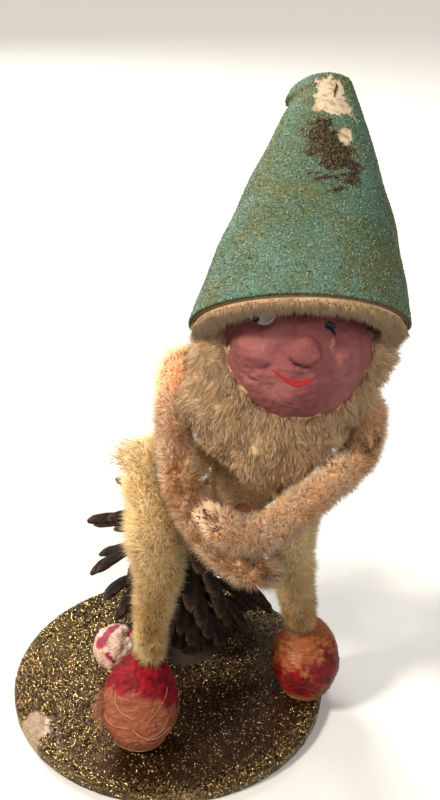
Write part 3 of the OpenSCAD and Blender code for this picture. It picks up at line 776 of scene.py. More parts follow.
# Strands start on the parts of the form that face away from the head. They lie down and away from the
# face, with a slow swirl; none enters the head. Locks are longer, bowed ones.
def furParts(look):
    draw = np.random.default_rng(look["seed"])
    points, normals, faces = softForm(look["node"], look["voxel"], look["shrink"])
    uneven = lumps(points, 6, look["seed"]) * 0.5 + lumps(points, 2, look["seed"] + 7) * 0.12
    points = points + normals * uneven[:, None]
    centre = np.array(head["place"])
    up = np.array([0, math.sin(math.radians(37.5)), math.cos(math.radians(37.5))])
    points = points + up * (look["lift"] * fade(normals @ up, 0.15, 0.8))[:, None]
    outward = fade((unit(points - centre) * normals).sum(1), 0, 0.5)
    points = points - normals * (look["slim"] * fade(points[:, 0], 31, 40) * outward)[:, None]
    # the beard is fuller low down on its right
    low = fade(points[:, 2], 70, 76) * fade(-points[:, 2], -91, -84)
    points[:, 0] -= look["puff"] * fade(-points[:, 0], -18, -9) * low
    gap = np.linalg.norm(points - centre, axis=1, keepdims=True)
    far = fade(gap, head["radius"] + 0.8, head["radius"] + 3.4)
    points = centre + unit(points - centre) * (gap * far + (head["radius"] - 0.4) * (1 - far))
    form = {"points": points, "faces": faces, "height": 0.4, "tint": lumps(points, 1.2, 4) * 0.5}
    corner = points[faces]
    area = np.linalg.norm(np.cross(corner[:, 1] - corner[:, 0], corner[:, 2] - corner[:, 0]), axis=1)
    middle = corner.mean(1)
    outside = (unit(middle - centre) * normals[faces].mean(1)).sum(1) > -0.35
    share = area * outside * (np.linalg.norm(middle - centre, axis=1) > head["radius"])
    parts = []
    for n, scale, wide, bowed in ((look["count"], 1, 1, False), (look["locks"], 1.25, 1.2, True)):
        if n == 0:
            continue
        face = draw.choice(len(faces), n, p=share / share.sum())
        w = draw.dirichlet((1, 1, 1), n)
        root = (corner[face] * w[..., None]).sum(1)
        normal = unit((normals[faces[face]] * w[..., None]).sum(1))
        fromHead = root - centre
        away = unit(fromHead - (fromHead @ unit(faceAim))[:, None] * unit(faceAim))
        swirl = np.stack([lumps(root, look["clump"], look["seed"] + k, 10) for k in (1, 2, 3)], 1)
        fine = np.stack([lumps(root, 1.6, look["seed"] + k, 10) for k in (4, 5, 6)], 1)
        near = 1 - fade(np.linalg.norm(fromHead, axis=1), head["radius"] + 0.3, head["radius"] + 3)
        lie = unit(normal * (look["out"] + near)[:, None] + away * look["away"]
                   + np.array([0, 0, -1.0]) * look["down"]
                   + swirl * 0.5 + fine * 0.18 + draw.normal(0, 0.26, (n, 3)))
        lie = unit(lie + normal * np.maximum(0.12 - (lie * normal).sum(1), 0)[:, None])
        long = draw.uniform(*look["length"], n) * scale
        tip = root + lie * long[:, None]
        inHead = np.linalg.norm(tip - centre, axis=1) < head["radius"] + 0.4
        tip[inHead] = centre + unit(tip[inHead] - centre) * (head["radius"] + 0.7)
        bow = normal * (long * 0.15)[:, None] + fine * 0.3 if bowed else None
        parts.append(strandPart(root - normal * 0.3, tip, draw.uniform(0.7, 1.2, n) * look["width"] * wide,
                                draw.normal(0, 0.5, n), bow))
    return form, parts


furLook = {"root": (0.60, 0.38, 0.19), "tip": (0.93, 0.68, 0.43), "patch": (0.66, 0.43, 0.21), "patchSize": 6,
           "patchStrength": 0.45, "stain": (0.3, 0.2, 0.08), "vary": 0.25, "rough": 0.32, "sheen": 0.3}
print("fur")
furMaterial = fibreMaterial("creamFur", furLook)
for name, look in furSets.items():
    form, parts = furParts(look)
    makePiece(name + "Fur", joinParts([form, parts[0]]), furMaterial, [look["node"]])
    for part in parts[1:]:
        makePiece(name + "Locks", part, furMaterial)

# Hat: the same leaning cone as the construction
hat = {"brim": (26.1, -8.8, 99.8), "tilt": 37.5, "height": 52.2, "lean": 5.2, "bend": 0.1, "brimRadius": 21.8,
       "tipRadius": 5.4, "bulge": 1.3, "cover": 0.6, "paper": 0.5, "rows": 140, "cols": 200,
       "grains": 42000, "seed": 81}
hatTilt = math.radians(hat["tilt"])
hatAxis = np.array([0, math.sin(hatTilt), math.cos(hatTilt)])
hatSide = np.array([1.0, 0, 0])
hatFront = np.array([0, -math.cos(hatTilt), math.sin(hatTilt)])


# exp(-(turn away from an angle / width)^2), the angle in degrees
def bell(a, degrees, width):
    away = np.mod(a - math.radians(degrees) + math.pi, 2 * math.pi) - math.pi
    return np.exp(-(away / width) ** 2)


# Point of the cone at height share s and angle a: centre line leaning sideways, radius falling to the tip,
# with dents, a fold that hangs over at the back left of the tip, and drawn in by depth
def hatPoint(s, a, depth=0.0):
    s, a = np.broadcast_arrays(np.asarray(s, float), np.asarray(a, float))
    centre = np.array(hat["brim"]) + (hat["height"] * s)[..., None] * hatAxis
    centre = centre + (hat["lean"] * s + hat["bend"] * np.sin(math.pi * s))[..., None] * hatSide
    r = hat["brimRadius"] + (hat["tipRadius"] - hat["brimRadius"]) * s + hat["bulge"] * np.sin(math.pi * s)
    out = np.cos(a)[..., None] * hatSide + np.sin(a)[..., None] * hatFront
    around = np.stack([np.cos(a) * 12, np.sin(a) * 12, s * hat["height"]], -1)
    dent = lumps(around, 16, 82) * 0.25 * np.sin(math.pi * np.clip(s, 0, 1))
    left = bell(a, 190, 0.75)
    fold = 1.5 * left * fade(s, 0.915, 0.94) * fade(-s, -1.01, -0.98)
    fold = fold - 0.3 * left * np.exp(-((s - 0.78) / 0.1) ** 2)
    fold = fold - 0.5 * left * np.exp(-((s - 0.895) / 0.012) ** 2)
    seam = 0.22 * bell(a, 262, 0.03)
    return centre + (r + dent + fold + seam - depth)[..., None] * out


# Wear of the cover near the tip: bare paper (1) and a dark crust (2) as soft-edged spots on (s, a)
def hatWear(s, a):
    degrees = np.degrees(np.mod(a, 2 * math.pi))
    around = np.stack([np.cos(a) * 8, np.sin(a) * 8, s * hat["height"]], -1)
    rough = lumps(around, 3.2, 83) * 0.22 + lumps(around, 1.1, 84) * 0.12
    bare = 1 - np.maximum(np.abs(s - 0.875) / 0.105, np.abs(degrees - 83 - (s - 0.875) * 60) / 27) ** 1.6
    bare = np.maximum(bare, 1 - np.hypot((s - 0.68) / 0.055, (degrees - 70.5) / 8))
    crack = 1 - np.hypot((s - 0.9) / 0.06, (degrees - 77 + (s - 0.9) * 60) / 3)
    crust = 1 - np.hypot((s - 0.61) / 0.17, (degrees - 84 - (s - 0.61) * 70) / 23)
    crust = np.maximum(crust - 1.2 * fade(bare + rough, 0.1, 0.22), crack * 0.8)
    return fade(bare + rough, 0.1, 0.22), fade(crust + rough * 1.2, 0.02, 0.24)


# Cover: up the inside, over the brim and down the outside, with a closed top
def hatCoverPart():
    rows, cols = hat["rows"], hat["cols"]
    a = (np.arange(cols) * 2 * math.pi / cols)[None, :]
    inner = np.linspace(0.97, 0.004, 12)
    outer = np.linspace(0.0, 1.0, rows)
    s = np.concatenate([inner, [0.0], outer, [1.004, 1.0]])
    depth = np.concatenate([np.full(12, hat["cover"]), [hat["cover"] * 0.8], np.zeros(rows), [1.2, 3.6]])
    depth[13] = 0.12
    grid = hatPoint(s[:, None], a, depth[:, None])
    bare, crust = hatWear(s[:, None] + 0 * a, a + 0 * s[:, None])
    outside = np.zeros((len(s), 1))
    outside[13:] = 1
    out = unit(grid - grid.mean(1, keepdims=True))
    grit = lumps(grid, 0.9, 85) * 0.05
    clots = lumps(grid, 0.8, 86) * 0.16
    lift = outside * (grit * (1 - bare) - 0.22 * bare + crust * clots)
    points, faces = closedSurface(grid + lift[..., None] * out)
    return {"points": points, "faces": faces, "bare": closedValue(bare * outside),
            "crust": closedValue(crust * outside)}


# Grit: tiny four-sided grains, half sunk in the cover, none on bare paper
def hatGritPart():
    draw = np.random.default_rng(hat["seed"])
    n = hat["grains"]
    slope = hat["tipRadius"] / hat["brimRadius"]
    u = draw.uniform(0, 1, n)
    s = (1 - np.sqrt(1 - u * (1 - slope ** 2))) / (1 - slope)
    a = draw.uniform(0, 2 * math.pi, n)
    bare, crust = hatWear(s, a)
    keep = bare < 0.5
    s, a, crust = s[keep], a[keep], crust[keep]
    place = hatPoint(s, a)
    out = unit(place - hatPoint(s, a, 3.0))
    size = draw.uniform(0.12, 0.27, len(s)) * (1 + 0.9 * crust)
    lie = unit(draw.normal(size=(len(s), 3)) + out * 0.2)
    part = strandPart(place - lie * size[:, None] * 0.6, place + lie * size[:, None], size * 0.85,
                      draw.uniform(-1, 1, len(s)))
    part["crust"] = np.repeat(crust, 4)
    return part


# Turquoise and olive clouds; the grains also glint, the flock also shows paper
def hatMaterial(grains):
    material, tree, shader, place = newMaterial("hatGrit" if grains else "hatFlock")
    broad = between(tree, noise(tree, place, 14, 4, 0.6), 0.36, 0.64)
    base = mixed(tree, broad, (0.115, 0.20, 0.115), (0.155, 0.29, 0.225))
    olive = between(tree, noise(tree, place, 11, 5, 0.65, warp=0.4), 0.42, 0.62)
    base = mixed(tree, maths(tree, "MULTIPLY", olive, 0.85), base, (0.17, 0.18, 0.06))
    if grains:
        tint = value(tree, "tint")
        base = mixed(tree, between(tree, tint, 0.2, 1.0), base, (0.40, 0.52, 0.38))
        base = mixed(tree, between(tree, tint, -0.3, -0.9), base, (0.05, 0.06, 0.025))
        tree.links.new(maths(tree, "MULTIPLY_ADD", tint, 0.15, 0.45), shader.inputs["Roughness"])
    else:
        fine = between(tree, noise(tree, place, 0.5, 4, 0.7), 0.35, 0.7)
        base = mixed(tree, fine, mixed(tree, 1.0, base, (0.45, 0.45, 0.4), "MULTIPLY"), base)
        paper = mixed(tree, between(tree, noise(tree, place, 1.2, 4), 0.45, 0.68), (0.74, 0.60, 0.42),
                      (0.45, 0.3, 0.16))
        base = mixed(tree, value(tree, "bare"), base, paper)
        shader.inputs["Roughness"].default_value = 0.8
        bump(tree, shader, noise(tree, place, 0.35, 3, 0.6), 0.6, 0.15)
    crusty = mixed(tree, between(tree, noise(tree, place, 0.9, 4, 0.7), 0.4, 0.6), (0.012, 0.007, 0.004),
                   (0.11, 0.06, 0.018))
    base = mixed(tree, maths(tree, "MULTIPLY", value(tree, "crust"), 0.97), base, crusty)
    tree.links.new(base, shader.inputs["Base Color"])
    return material


# Paper cone between the cover and the head, a hair longer at the brim
def hatPaperPart():
    a = (np.arange(128) * 2 * math.pi / 128)[None, :]
    s = np.concatenate([np.linspace(0.94, -0.004, 20), np.linspace(-0.006, 0.955, 30)])
    depth = np.concatenate([np.full(20, hat["cover"] + hat["paper"]), np.full(30, hat["cover"] + 0.06)])
    points, faces = closedSurface(hatPoint(s[:, None], a, depth[:, None]))
    return {"points": points, "faces": faces}


# Brown paper with fibres
def paperMaterial():
    material, tree, shader, place = newMaterial("hatPaper")
    fibre = noise(tree, place, 0.6, 5, 0.7)
    tree.links.new(mixed(tree, between(tree, fibre, 0.3, 0.7), (0.10, 0.055, 0.02), (0.3, 0.2, 0.1)),
                   shader.inputs["Base Color"])
    shader.inputs["Roughness"].default_value = 0.85
    bump(tree, shader, fibre, 0.3, 0.1)
    return material


print("hat")
makePiece("hatCover", hatCoverPart(), hatMaterial(False), ["hat_cover"])
makePiece("hatGrit", hatGritPart(), hatMaterial(True))
makePiece("hatPaper", hatPaperPart(), paperMaterial(), ["hat_paper"])

# Brow fur: a ring of strands between the head and the hat that hangs just below the brim
browFur = {"count": 26000, "seed": 63, "length": (0.9, 2.3), "width": 0.065}


# Felt ring between the hat and the head, and strands that hang from it along the hat's axis
def browPart():
    draw = np.random.default_rng(browFur["seed"])
    n = browFur["count"]
    a = draw.uniform(0, 2 * math.pi, n)
    inset = hat["cover"] + hat["paper"] + 0.1 + 4.4 * draw.uniform(0, 1, n) ** 1.2
    root = hatPoint(draw.uniform(-0.022, -0.01, n), a, inset)
    out = unit(root - hatPoint(0.02 + 0 * a, a, 8.0))
    swirl = np.stack([lumps(root, 2.4, 64 + k) for k in range(3)], 1)
    lie = unit(-hatAxis + out * (0.25 - 0.2 * (inset - 1.3) / 2.6)[:, None] + swirl * 0.22
               + draw.normal(0, 0.13, (n, 3)))
    tip = root + lie * draw.uniform(*browFur["length"], n)[:, None]
    centre = np.array(head["place"])
    away = np.linalg.norm(tip - centre, axis=1)
    near = away < head["radius"] + 0.5
    tip[near] = centre + unit(tip[near] - centre) * (head["radius"] + 0.5)
    part = strandPart(root, tip, draw.uniform(0.7, 1.2, n) * browFur["width"], draw.normal(0, 0.5, n))
    turn = (np.arange(160) * 2 * math.pi / 160)[None, :]
    low, high = np.linspace(-0.022, 0.1, 6), np.linspace(0.1, -0.022, 6)
    inner = np.array([3.0, 3.6, 4.4, 5.0, 5.6, 6.2])
    s = np.concatenate([high, low])
    depth = np.concatenate([inner[::-1], np.full(6, 1.3)])
    ring = hatPoint(s[:, None], turn, depth[:, None])
    inward = np.linalg.norm(ring - centre, axis=-1, keepdims=True)
    clear = head["radius"] + 0.1
    ring = np.where(inward < clear, centre + unit(ring - centre) * clear, ring)
    ring = np.concatenate([ring, ring[:1]])
    points = ring.reshape(-1, 3)
    rows, cols = ring.shape[:2]
    i, j = np.meshgrid(np.arange(rows - 1), np.arange(cols), indexing="ij")
    p, q = (i * cols + j).ravel(), (i * cols + (j + 1) % cols).ravel()
    faces = np.concatenate([np.stack([p, q, q + cols], 1), np.stack([p, q + cols, p + cols], 1)])
    faces = np.where(faces >= (rows - 1) * cols, faces - (rows - 1) * cols, faces)
    felt = {"points": points[:(rows - 1) * cols], "faces": faces, "height": 0.5}
    return joinParts([felt, part])


makePiece("browFur", browPart(), furMaterial, ["brow_fur"])

# Feet: eggs of spun cotton that lean on their toes
footAxis = unit(np.array([0, 1.0, 1.0]))
rightFoot = {"name": "rightFoot", "node": "right_foot", "place": (-5.4, -20.2, 12.62), "half": 8.4,
             "long": 10.7, "seed": 91, "painted": (0.31, 0.003, 0.013), "paintedDark": (0.14, 0.003, 0.01),
             "bare": (0.27, 0.062, 0.028), "bareLight": (0.42, 0.14, 0.07), "rough": 0.45}
leftFoot = {"name": "leftFoot", "node": "left_foot", "place": (33.1, -3.3, 11.99), "half": 8.1, "long": 9.8,
            "seed": 92, "painted": (0.25, 0.006, 0.008), "paintedDark": (0.09, 0.006, 0.006),
            "bare": (0.24, 0.04, 0.012), "bareLight": (0.44, 0.16, 0.05), "rough": 0.2}
spun = {"rows": 110, "cols": 150, "fibres": 5200, "floor": 3.05}


# Egg: centre + long * cos p * axis + half * sin p * ring, with fine wound ridges and lumps
def eggPoint(foot, polar, a):
    side = np.array([1.0, 0, 0])
    third = np.cross(footAxis, side)
    ring = np.cos(a) * side + np.sin(a) * third
    p = foot["long"] * np.cos(polar) * footAxis + foot["half"] * np.sin(polar) * ring
    lift = lumps(p, 7, foot["seed"]) * 0.22 + lumps(p, 1.6, foot["seed"] + 1) * 0.09
    lift = lift + 0.05 * np.sin(polar[..., 0] * 70 + lumps(p, 5, 93) * 3)
    return np.array(foot["place"]) + p + unit(p) * lift[..., None]


# The egg and its wound fibres, which lie round the axis and curve with the surface
def footPart(foot):
    rows, cols = spun["rows"], spun["cols"]
    polar = np.linspace(math.pi - 0.02, 0.02, rows)[:, None, None]
    a = (np.arange(cols) * 2 * math.pi / cols)[None, :, None]
    grid = eggPoint(foot, polar, a)
    grid[..., 2] = np.maximum(grid[..., 2], spun["floor"] + 0.01)
    points, faces = closedSurface(grid)
    paint = foot["paint"](points)
    body = {"points": points, "faces": faces, "paint": paint}
    draw = np.random.default_rng(foot["seed"])
    n = spun["fibres"]
    row, col = draw.integers(0, rows, n), draw.integers(0, cols, n)
    root = grid[row, col]
    out = unit(root - np.array(foot["place"]))
    wound = unit(np.cross(out, footAxis + 0.25 * draw.normal(size=(n, 3))))
    lie = unit(wound * np.where(draw.uniform(size=n) < 0.5, 1, -1)[:, None]
               + out * draw.uniform(0.0, 0.22, n)[:, None])
    long = draw.uniform(0.8, 2.6, n)
    tip = root + lie * long[:, None] - out * (long ** 2 / 26)[:, None]
    fluff = strandPart(root - out * 0.05, tip, draw.uniform(0.025, 0.06, n), draw.normal(0, 1, n))
    fluff["paint"] = np.repeat(foot["paint"](root), 4)
    fluff["loose"] = np.repeat(draw.uniform(0, 0.35, n), 4) * (1 - fluff["paint"])
    fluff["points"][:, 2] = np.maximum(fluff["points"][:, 2], spun["floor"])
    parts = [body, fluff] + (foot["extra"](foot) if "extra" in foot else [])
    return joinParts(parts)


# Loose pale threads: thin tubes on tilted rings round the foot, each with its tilt, height, start, end and
# thickness, and a tuft of fuzz at one side
def looseThreads(foot):
    draw = np.random.default_rng(foot["seed"] + 10)
    rings = [(0.2, 1.5, 1.7, 2.9, 0.09), (0.5, 1.0, 2.9, 4.0, 0.11), (-0.3, 1.2, 2.0, 3.0, 0.07)]
    for k in range(5):
        start = draw.uniform(1.6, 3.4)
        rings.append((draw.uniform(-0.6, 0.7), draw.uniform(0.4, 1.7), start, start + draw.uniform(0.8, 2.0),
                      draw.uniform(0.03, 0.045)))
    parts = []
    for tiltX, height, start, finish, thick in rings:
        t = np.linspace(start, finish, 40)
        up = unit(np.array([tiltX, -0.55, 1.0]))
        side = unit(np.cross(up, [0.0, 1, 0.2]))
        third = np.cross(up, side)
        rise = height - 0.55 + 0.06 * np.sin(t * 5)
        d = unit(np.cos(t - 1.54)[:, None] * side + np.sin(t - 1.54)[:, None] * third + up * rise[:, None])
        lengthwise, crosswise = d @ footAxis, np.linalg.norm(np.cross(d, footAxis), axis=1)
        reach = foot["half"] * foot["long"] / np.hypot(foot["half"] * lengthwise, foot["long"] * crosswise)
        p = np.array(foot["place"]) + d * (reach + 0.42)[:, None]
        points, faces = closedSurface(tubeGrid(p, np.full(40, thick), 6))
        parts.append({"points": points, "faces": faces, "paint": 0.0, "loose": 0.8, "tint": 0.0})
    n = 420
    middle = np.array(foot["place"]) + np.array([-8.2, -1.5, -1.0])
    root = middle + draw.normal(0, 1, (n, 3)) * np.array([0.7, 1.6, 1.9])
    lie = unit(np.array([-1.0, -0.2, -0.1]) + draw.normal(0, 0.55, (n, 3)))
    tip = root + lie * draw.uniform(1, 2.4, n)[:, None]
    fuzz = strandPart(root, tip, draw.uniform(0.03, 0.06, n), draw.normal(0, 1, n),
                      draw.normal(0, 0.3, (n, 3)))
    parts.append(dict(fuzz, paint=0.0, loose=0.3))
    return parts


# Where the crimson paint is: the top and front of the right foot, blotches on the left one
def rightFootPaint(points):
    p = points - np.array(rightFoot["place"])
    height = p[..., 2] * 0.75 + p[..., 1] * 0.62 + 0.25 * p[..., 0]
    return fade(height + lumps(points, 6, 94) * 0.9 + lumps(points, 1.4, 95) * 0.3, 0.2, 1.6)


# 1 - distance from a sloping level / half height, with lumps
def leftFootPaint(points):
    band = 1 - np.abs(points[..., 2] - 11 - 0.25 * (points[..., 0] - 33)) / 5.4
    return fade(band + 0.35 * lumps(points, 6, 99) + 0.25 * lumps(points, 1.8, 97), 0.0, 0.5)


rightFoot["paint"] = rightFootPaint
rightFoot["extra"] = looseThreads
leftFoot["paint"] = leftFootPaint


# Wound cotton: bare fibres where it is unpainted, scuffed paint elsewhere, pale loose threads
def footMaterial(foot):
    material, tree, shader, place = newMaterial(foot["name"] + "Cotton")
    wound = noise(tree, place, 2.2, 5, 0.7, stretch=(0.35, 1.0, 3.4), warp=0.8)
    fine = noise(tree, place, 0.6, 5, 0.7, stretch=(0.5, 1.0, 3.0))
    cloth = mixed(tree, between(tree, wound, 0.36, 0.66), foot["bare"], foot["bareLight"])
    clouds = between(tree, noise(tree, place, 2.6, 4, 0.6), 0.4, 0.64)
    paint = mixed(tree, clouds, foot["painted"], foot["paintedDark"])
    scuff = maths(tree, "MULTIPLY", between(tree, fine, 0.56, 0.72), 0.14)
    paint = mixed(tree, scuff, paint, foot["bareLight"])
    base = mixed(tree, value(tree, "paint"), cloth, paint)
    strand = maths(tree, "MULTIPLY_ADD", value(tree, "tint"), 0.12, 1.0)
    base = shaded(tree, base, strand)
    base = mixed(tree, maths(tree, "MULTIPLY", value(tree, "loose"), 0.8), base, (0.74, 0.44, 0.27))
    tree.links.new(base, shader.inputs["Base Color"])
    tree.links.new(maths(tree, "MULTIPLY_ADD", fine, 0.4, foot["rough"]), shader.inputs["Roughness"])
    shader.inputs["Specular IOR Level"].default_value = 0.22
    bump(tree, shader, maths(tree, "ADD", wound, fine), 0.5, 0.15)
    return material


print("feet")
for foot in (rightFoot, leftFoot):
    makePiece(foot["name"], footPart(foot), footMaterial(foot), [foot["node"]])

# Pine cone: woody core and spiral of scales, one every turn of so many degrees
cone = {"place": (3, 14, 6), "core": 41, "count": 84, "longest": 23.5, "halfWidth": 1.9, "turn": 137.508,
        "seed": 101}


# Falls evenly from the foot to the top
def coneCoreRadius(h):
    return 6.4 - 3.2 * h / cone["core"]


# Core: the spindle of the construction with a little lump for every scale's seat
def coneCorePart():
    h = np.linspace(0, cone["core"] + 2, 60)
    r = np.where(h < cone["core"], coneCoreRadius(h),
                 3.2 * np.sqrt(np.clip((cone["core"] + 2 - h) / 2, 0, 1)) + 0.05)
    a = (np.arange(72) * 2 * math.pi / 72)[None, :]
    seat = 0.22 * np.cos(5 * a + h[:, None] * 1.7) * np.cos(8 * a - h[:, None] * 1.2)
    r = (r[:, None] + seat - 0.2).clip(0.05)
    grid = np.stack([r * np.cos(a), r * np.sin(a), h[:, None] + 0 * a], -1) + np.array(cone["place"])
    points, faces = closedSurface(grid)
    return {"points": points, "faces": faces}


# A scale: a flat blade on an arc, its half width and thickness functions of the share s along it,
# with a keel on its outer face, a thick rounded lip, and a little twist of its own
def coneScale(k, draw):
    u = k / cone["count"]
    rows, cols = 15, 14
    s = np.linspace(0, 1, rows)
    front = max(0, -math.sin(math.radians(cone["turn"] * k)))
    attach = 6.5 + 32 * u
    long = cone["longest"] * math.sin(math.radians(30 + 100 * u)) * (1 - 0.25 * front)
    long = long * draw.uniform(0.93, 1.03)
    rise = math.radians(-22 + 20 * u + 17 * u ** 4 - 24 * front + draw.uniform(-6, 6))
    curl = math.radians((-32 if u < 0.8 else -10) - 14 * front + draw.uniform(-12, 8))
    bend = long / curl
    e = rise + curl * s
    reach = coneCoreRadius(attach) - 0.5 + bend * (np.sin(e) - math.sin(rise))
    height = attach - bend * (np.cos(e) - math.cos(rise))
    half = cone["halfWidth"] * draw.uniform(0.85, 1.1) * (0.5 + 0.5 * fade(s, 0.15, 0.7))
    half = half * np.sqrt(np.clip(1.02 - s ** 7, 0.05, 1))
    thick = (0.45 + 0.6 * fade(s, 0.5, 0.88)) * np.sqrt(np.clip(1.03 - s ** 9, 0.05, 1))
    a = np.arange(cols) * 2 * math.pi / cols
    ca, sa = np.cos(a)[None], np.sin(a)[None]
    square = (np.abs(ca) ** 4 + np.abs(sa) ** 4) ** -0.25
    wide = half[:, None] * ca * square
    keel = 0.35 * np.exp(-(wide / 0.7) ** 2) * fade(s, 0.3, 0.8)[:, None] * (sa < 0)
    up = thick[:, None] * sa * square - keel - 0.12 * (wide / cone["halfWidth"]) ** 2 * 2
    rough = lumps(np.stack([s[:, None] * 18 + 0 * wide, wide * 3, up * 2 + k], -1), 3.2, 102) * 0.13
    twist = math.radians(draw.uniform(-16, 16)) * s[:, None]
    knobbly = up + rough * s[:, None]
    wide, up = wide * np.cos(twist) - up * np.sin(twist), wide * np.sin(twist) + knobbly * np.cos(twist)
    swing = draw.uniform(-0.05, 0.05) * (s * long)[:, None] * s[:, None]
    x = reach[:, None] - up * np.sin(e)[:, None]
    z = height[:, None] + up * np.cos(e)[:, None]
    turn = math.radians(cone["turn"] * k)
    y = wide + swing
    east, north = x * math.cos(turn) - y * math.sin(turn), x * math.sin(turn) + y * math.cos(turn)
    grid = np.stack([east, north, z], -1) + np.array(cone["place"])
    grid[..., 2] = np.maximum(grid[..., 2], 3.15)
    points, faces = closedSurface(grid)
    rim = np.clip((np.abs(wide) / half[:, None]) ** 3 * 0.6 + fade(s, 0.82, 1)[:, None], 0, 1)
    return {"points": points, "faces": faces, "along": closedValue(s[:, None] + 0 * wide),
            "rim": closedValue(rim), "tint": np.full(len(points), draw.uniform(-1, 1))}


# Low scales are missing where the toadstool stands
def isBroken(k):
    u = k / cone["count"]
    off = abs((cone["turn"] * k - math.degrees(math.atan2(-13, -16)) + 720) % 360)
    return u < 0.48 and min(off, 360 - off) < 26


# The scales of one tier, from share low to share high of the spiral
def scalesPart(low, high, seed):
    draw = np.random.default_rng(seed)
    first, last = round(low * cone["count"]), round(high * cone["count"])
    return joinParts([coneScale(k, draw) for k in range(first, last) if not isBroken(k)])


# Near-black wood; the scales are rubbed paler along their rims
def coneMaterial(name, core):
    material, tree, shader, place = newMaterial(name)
    streak = noise(tree, place, 1.4, 6, 0.7, warp=0.5)
    base = mixed(tree, between(tree, streak, 0.35, 0.68), (0.008, 0.005, 0.003), (0.03, 0.018, 0.011))
    if not core:
        outer = mixed(tree, between(tree, streak, 0.3, 0.62), (0.003, 0.002, 0.0015), (0.014, 0.008, 0.005))
        face = maths(tree, "MULTIPLY", between(tree, value(tree, "along"), 0.42, 0.85), 0.9)
        base = mixed(tree, face, base, outer)
        rub = maths(tree, "MULTIPLY", value(tree, "rim"),
                    between(tree, noise(tree, place, 0.9, 5, 0.7), 0.35, 0.6))
        base = mixed(tree, maths(tree, "MULTIPLY", rub, 0.55), base, (0.17, 0.10, 0.065))
        tint = maths(tree, "MULTIPLY_ADD", value(tree, "tint"), 0.18, 1.0)
        base = shaded(tree, base, tint)
    tree.links.new(base, shader.inputs["Base Color"])
    tree.links.new(maths(tree, "MULTIPLY_ADD", streak, 0.3, 0.55), shader.inputs["Roughness"])
    shader.inputs["Specular IOR Level"].default_value = 0.12
    bump(tree, shader, streak, 0.9, 0.4)
    return material


print("pine cone")
makePiece("coneCore", coneCorePart(), coneMaterial("coneWood", True), ["cone_core"])
scaleMaterial = coneMaterial("coneScale", False)
for tier, low, high in (("lower", 0, 0.36), ("middle", 0.36, 0.7), ("upper", 0.7, 1)):
    makePiece("coneScales_" + tier, scalesPart(low, high, cone["seed"] + round(low * 100)), scaleMaterial,
              ["cone_scales_" + tier])

# Toadstool: a ball cut flat underneath, on a short stem
stool = {"place": (-13, 1, 3), "centre": 6.6, "underside": 3.4, "radius": 5.8, "rows": 90, "cols": 120,
         "seed": 111}
# tilt and turn of the raised dots, in degrees, and their size in mm
stoolDots = [(40, 187, 0.95), (26, 33, 0.95), (55, 320, 0.6), (62, 90, 0.9), (70, 20, 0.9), (64, 140, 0.9)]
stoolBands = [((-0.69, -0.43, 0.58), (-0.52, -0.43, 0.74), 1.2),
              ((-0.52, -0.43, 0.74), (-0.27, -0.05, 0.96), 1.0),
              ((-0.27, -0.05, 0.96), (-0.01, 0.28, 0.96), 0.7),
              ((-0.31, -0.88, 0.35), (-0.10, -0.98, 0.18), 0.55),
              ((0.55, 0.1, 0.82), (0.5, -0.15, 0.85), 0.4), ((0.7, 0.5, 0.5), (0.2, 0.9, 0.4), 1.0),
              ((-0.9, 0.3, 0.3), (-0.5, 0.8, 0.3), 0.9)]


# Cap: flat underside, then radius * (sin p, cos p), with lumps, raised dots and crimson bands
def stoolCapPart():
    polar = np.linspace(2.05, 0.02, stool["rows"])
    flat = np.linspace(0.15, 0.98, 13)
    a = (np.arange(stool["cols"]) * 2 * math.pi / stool["cols"])[None, :]
    low = stool["underside"] - stool["centre"]
    limit = math.sqrt(stool["radius"] ** 2 - low ** 2)
    r = np.concatenate([limit * flat, stool["radius"] * np.sin(polar)])[:, None]
    z = np.concatenate([low + 0.25 * (1 - flat), np.maximum(stool["radius"] * np.cos(polar), low)])[:, None]
    p = np.stack([r * np.cos(a), r * np.sin(a), z + 0 * a], -1)
    d = unit(p)
    lift = lumps(p, 3.2, 112) * 0.16 + lumps(p, 0.9, 113) * 0.06
    dots = np.zeros(lift.shape)
    for tilt, turn, size in stoolDots:
        tilt, turn = math.radians(tilt), math.radians(turn)
        aim = np.array([math.sin(tilt) * math.cos(turn), math.sin(tilt) * math.sin(turn), math.cos(tilt)])
        apart = np.linalg.norm(d - aim, axis=-1) * stool["radius"]
        dots = np.maximum(dots, fade(-apart, -size, -size * 0.75))
        lift = lift + 0.42 * np.sqrt(np.clip(1 - (apart / size) ** 2, 0, 1))
    ragged = lumps(p, 1.5, 115) * 0.18
    crimson = np.zeros(lift.shape)
    for start, finish, wide in stoolBands:
        apart = offLine(d, start, finish) * stool["radius"]
        crimson = np.maximum(crimson, fade(-apart - ragged, -wide * 1.35, -wide))
    grid = p + lift[..., None] * d + np.array(stool["place"]) + np.array([0, 0, stool["centre"]])
    points, faces = closedSurface(grid)
    return {"points": points, "faces": faces, "crimson": closedValue(crimson), "dot": closedValue(dots)}


# Stem: a tapering tube with seven soft flutes
def stoolStemPart():
    t = np.linspace(0, 1, 24)[:, None]
    a = (np.arange(48) * 2 * math.pi / 48)[None, :]
    r = 2.6 - 0.5 * t + 0.12 * np.cos(7 * a + t * 2)
    z = 0.05 + t * (stool["underside"] - 0.1) + 0 * a
    grid = np.stack([r * np.cos(a), r * np.sin(a), z], -1) + np.array(stool["place"])
    points, faces = closedSurface(grid)
    return {"points": points, "faces": faces, "crimson": 0.0, "dot": 0.0}


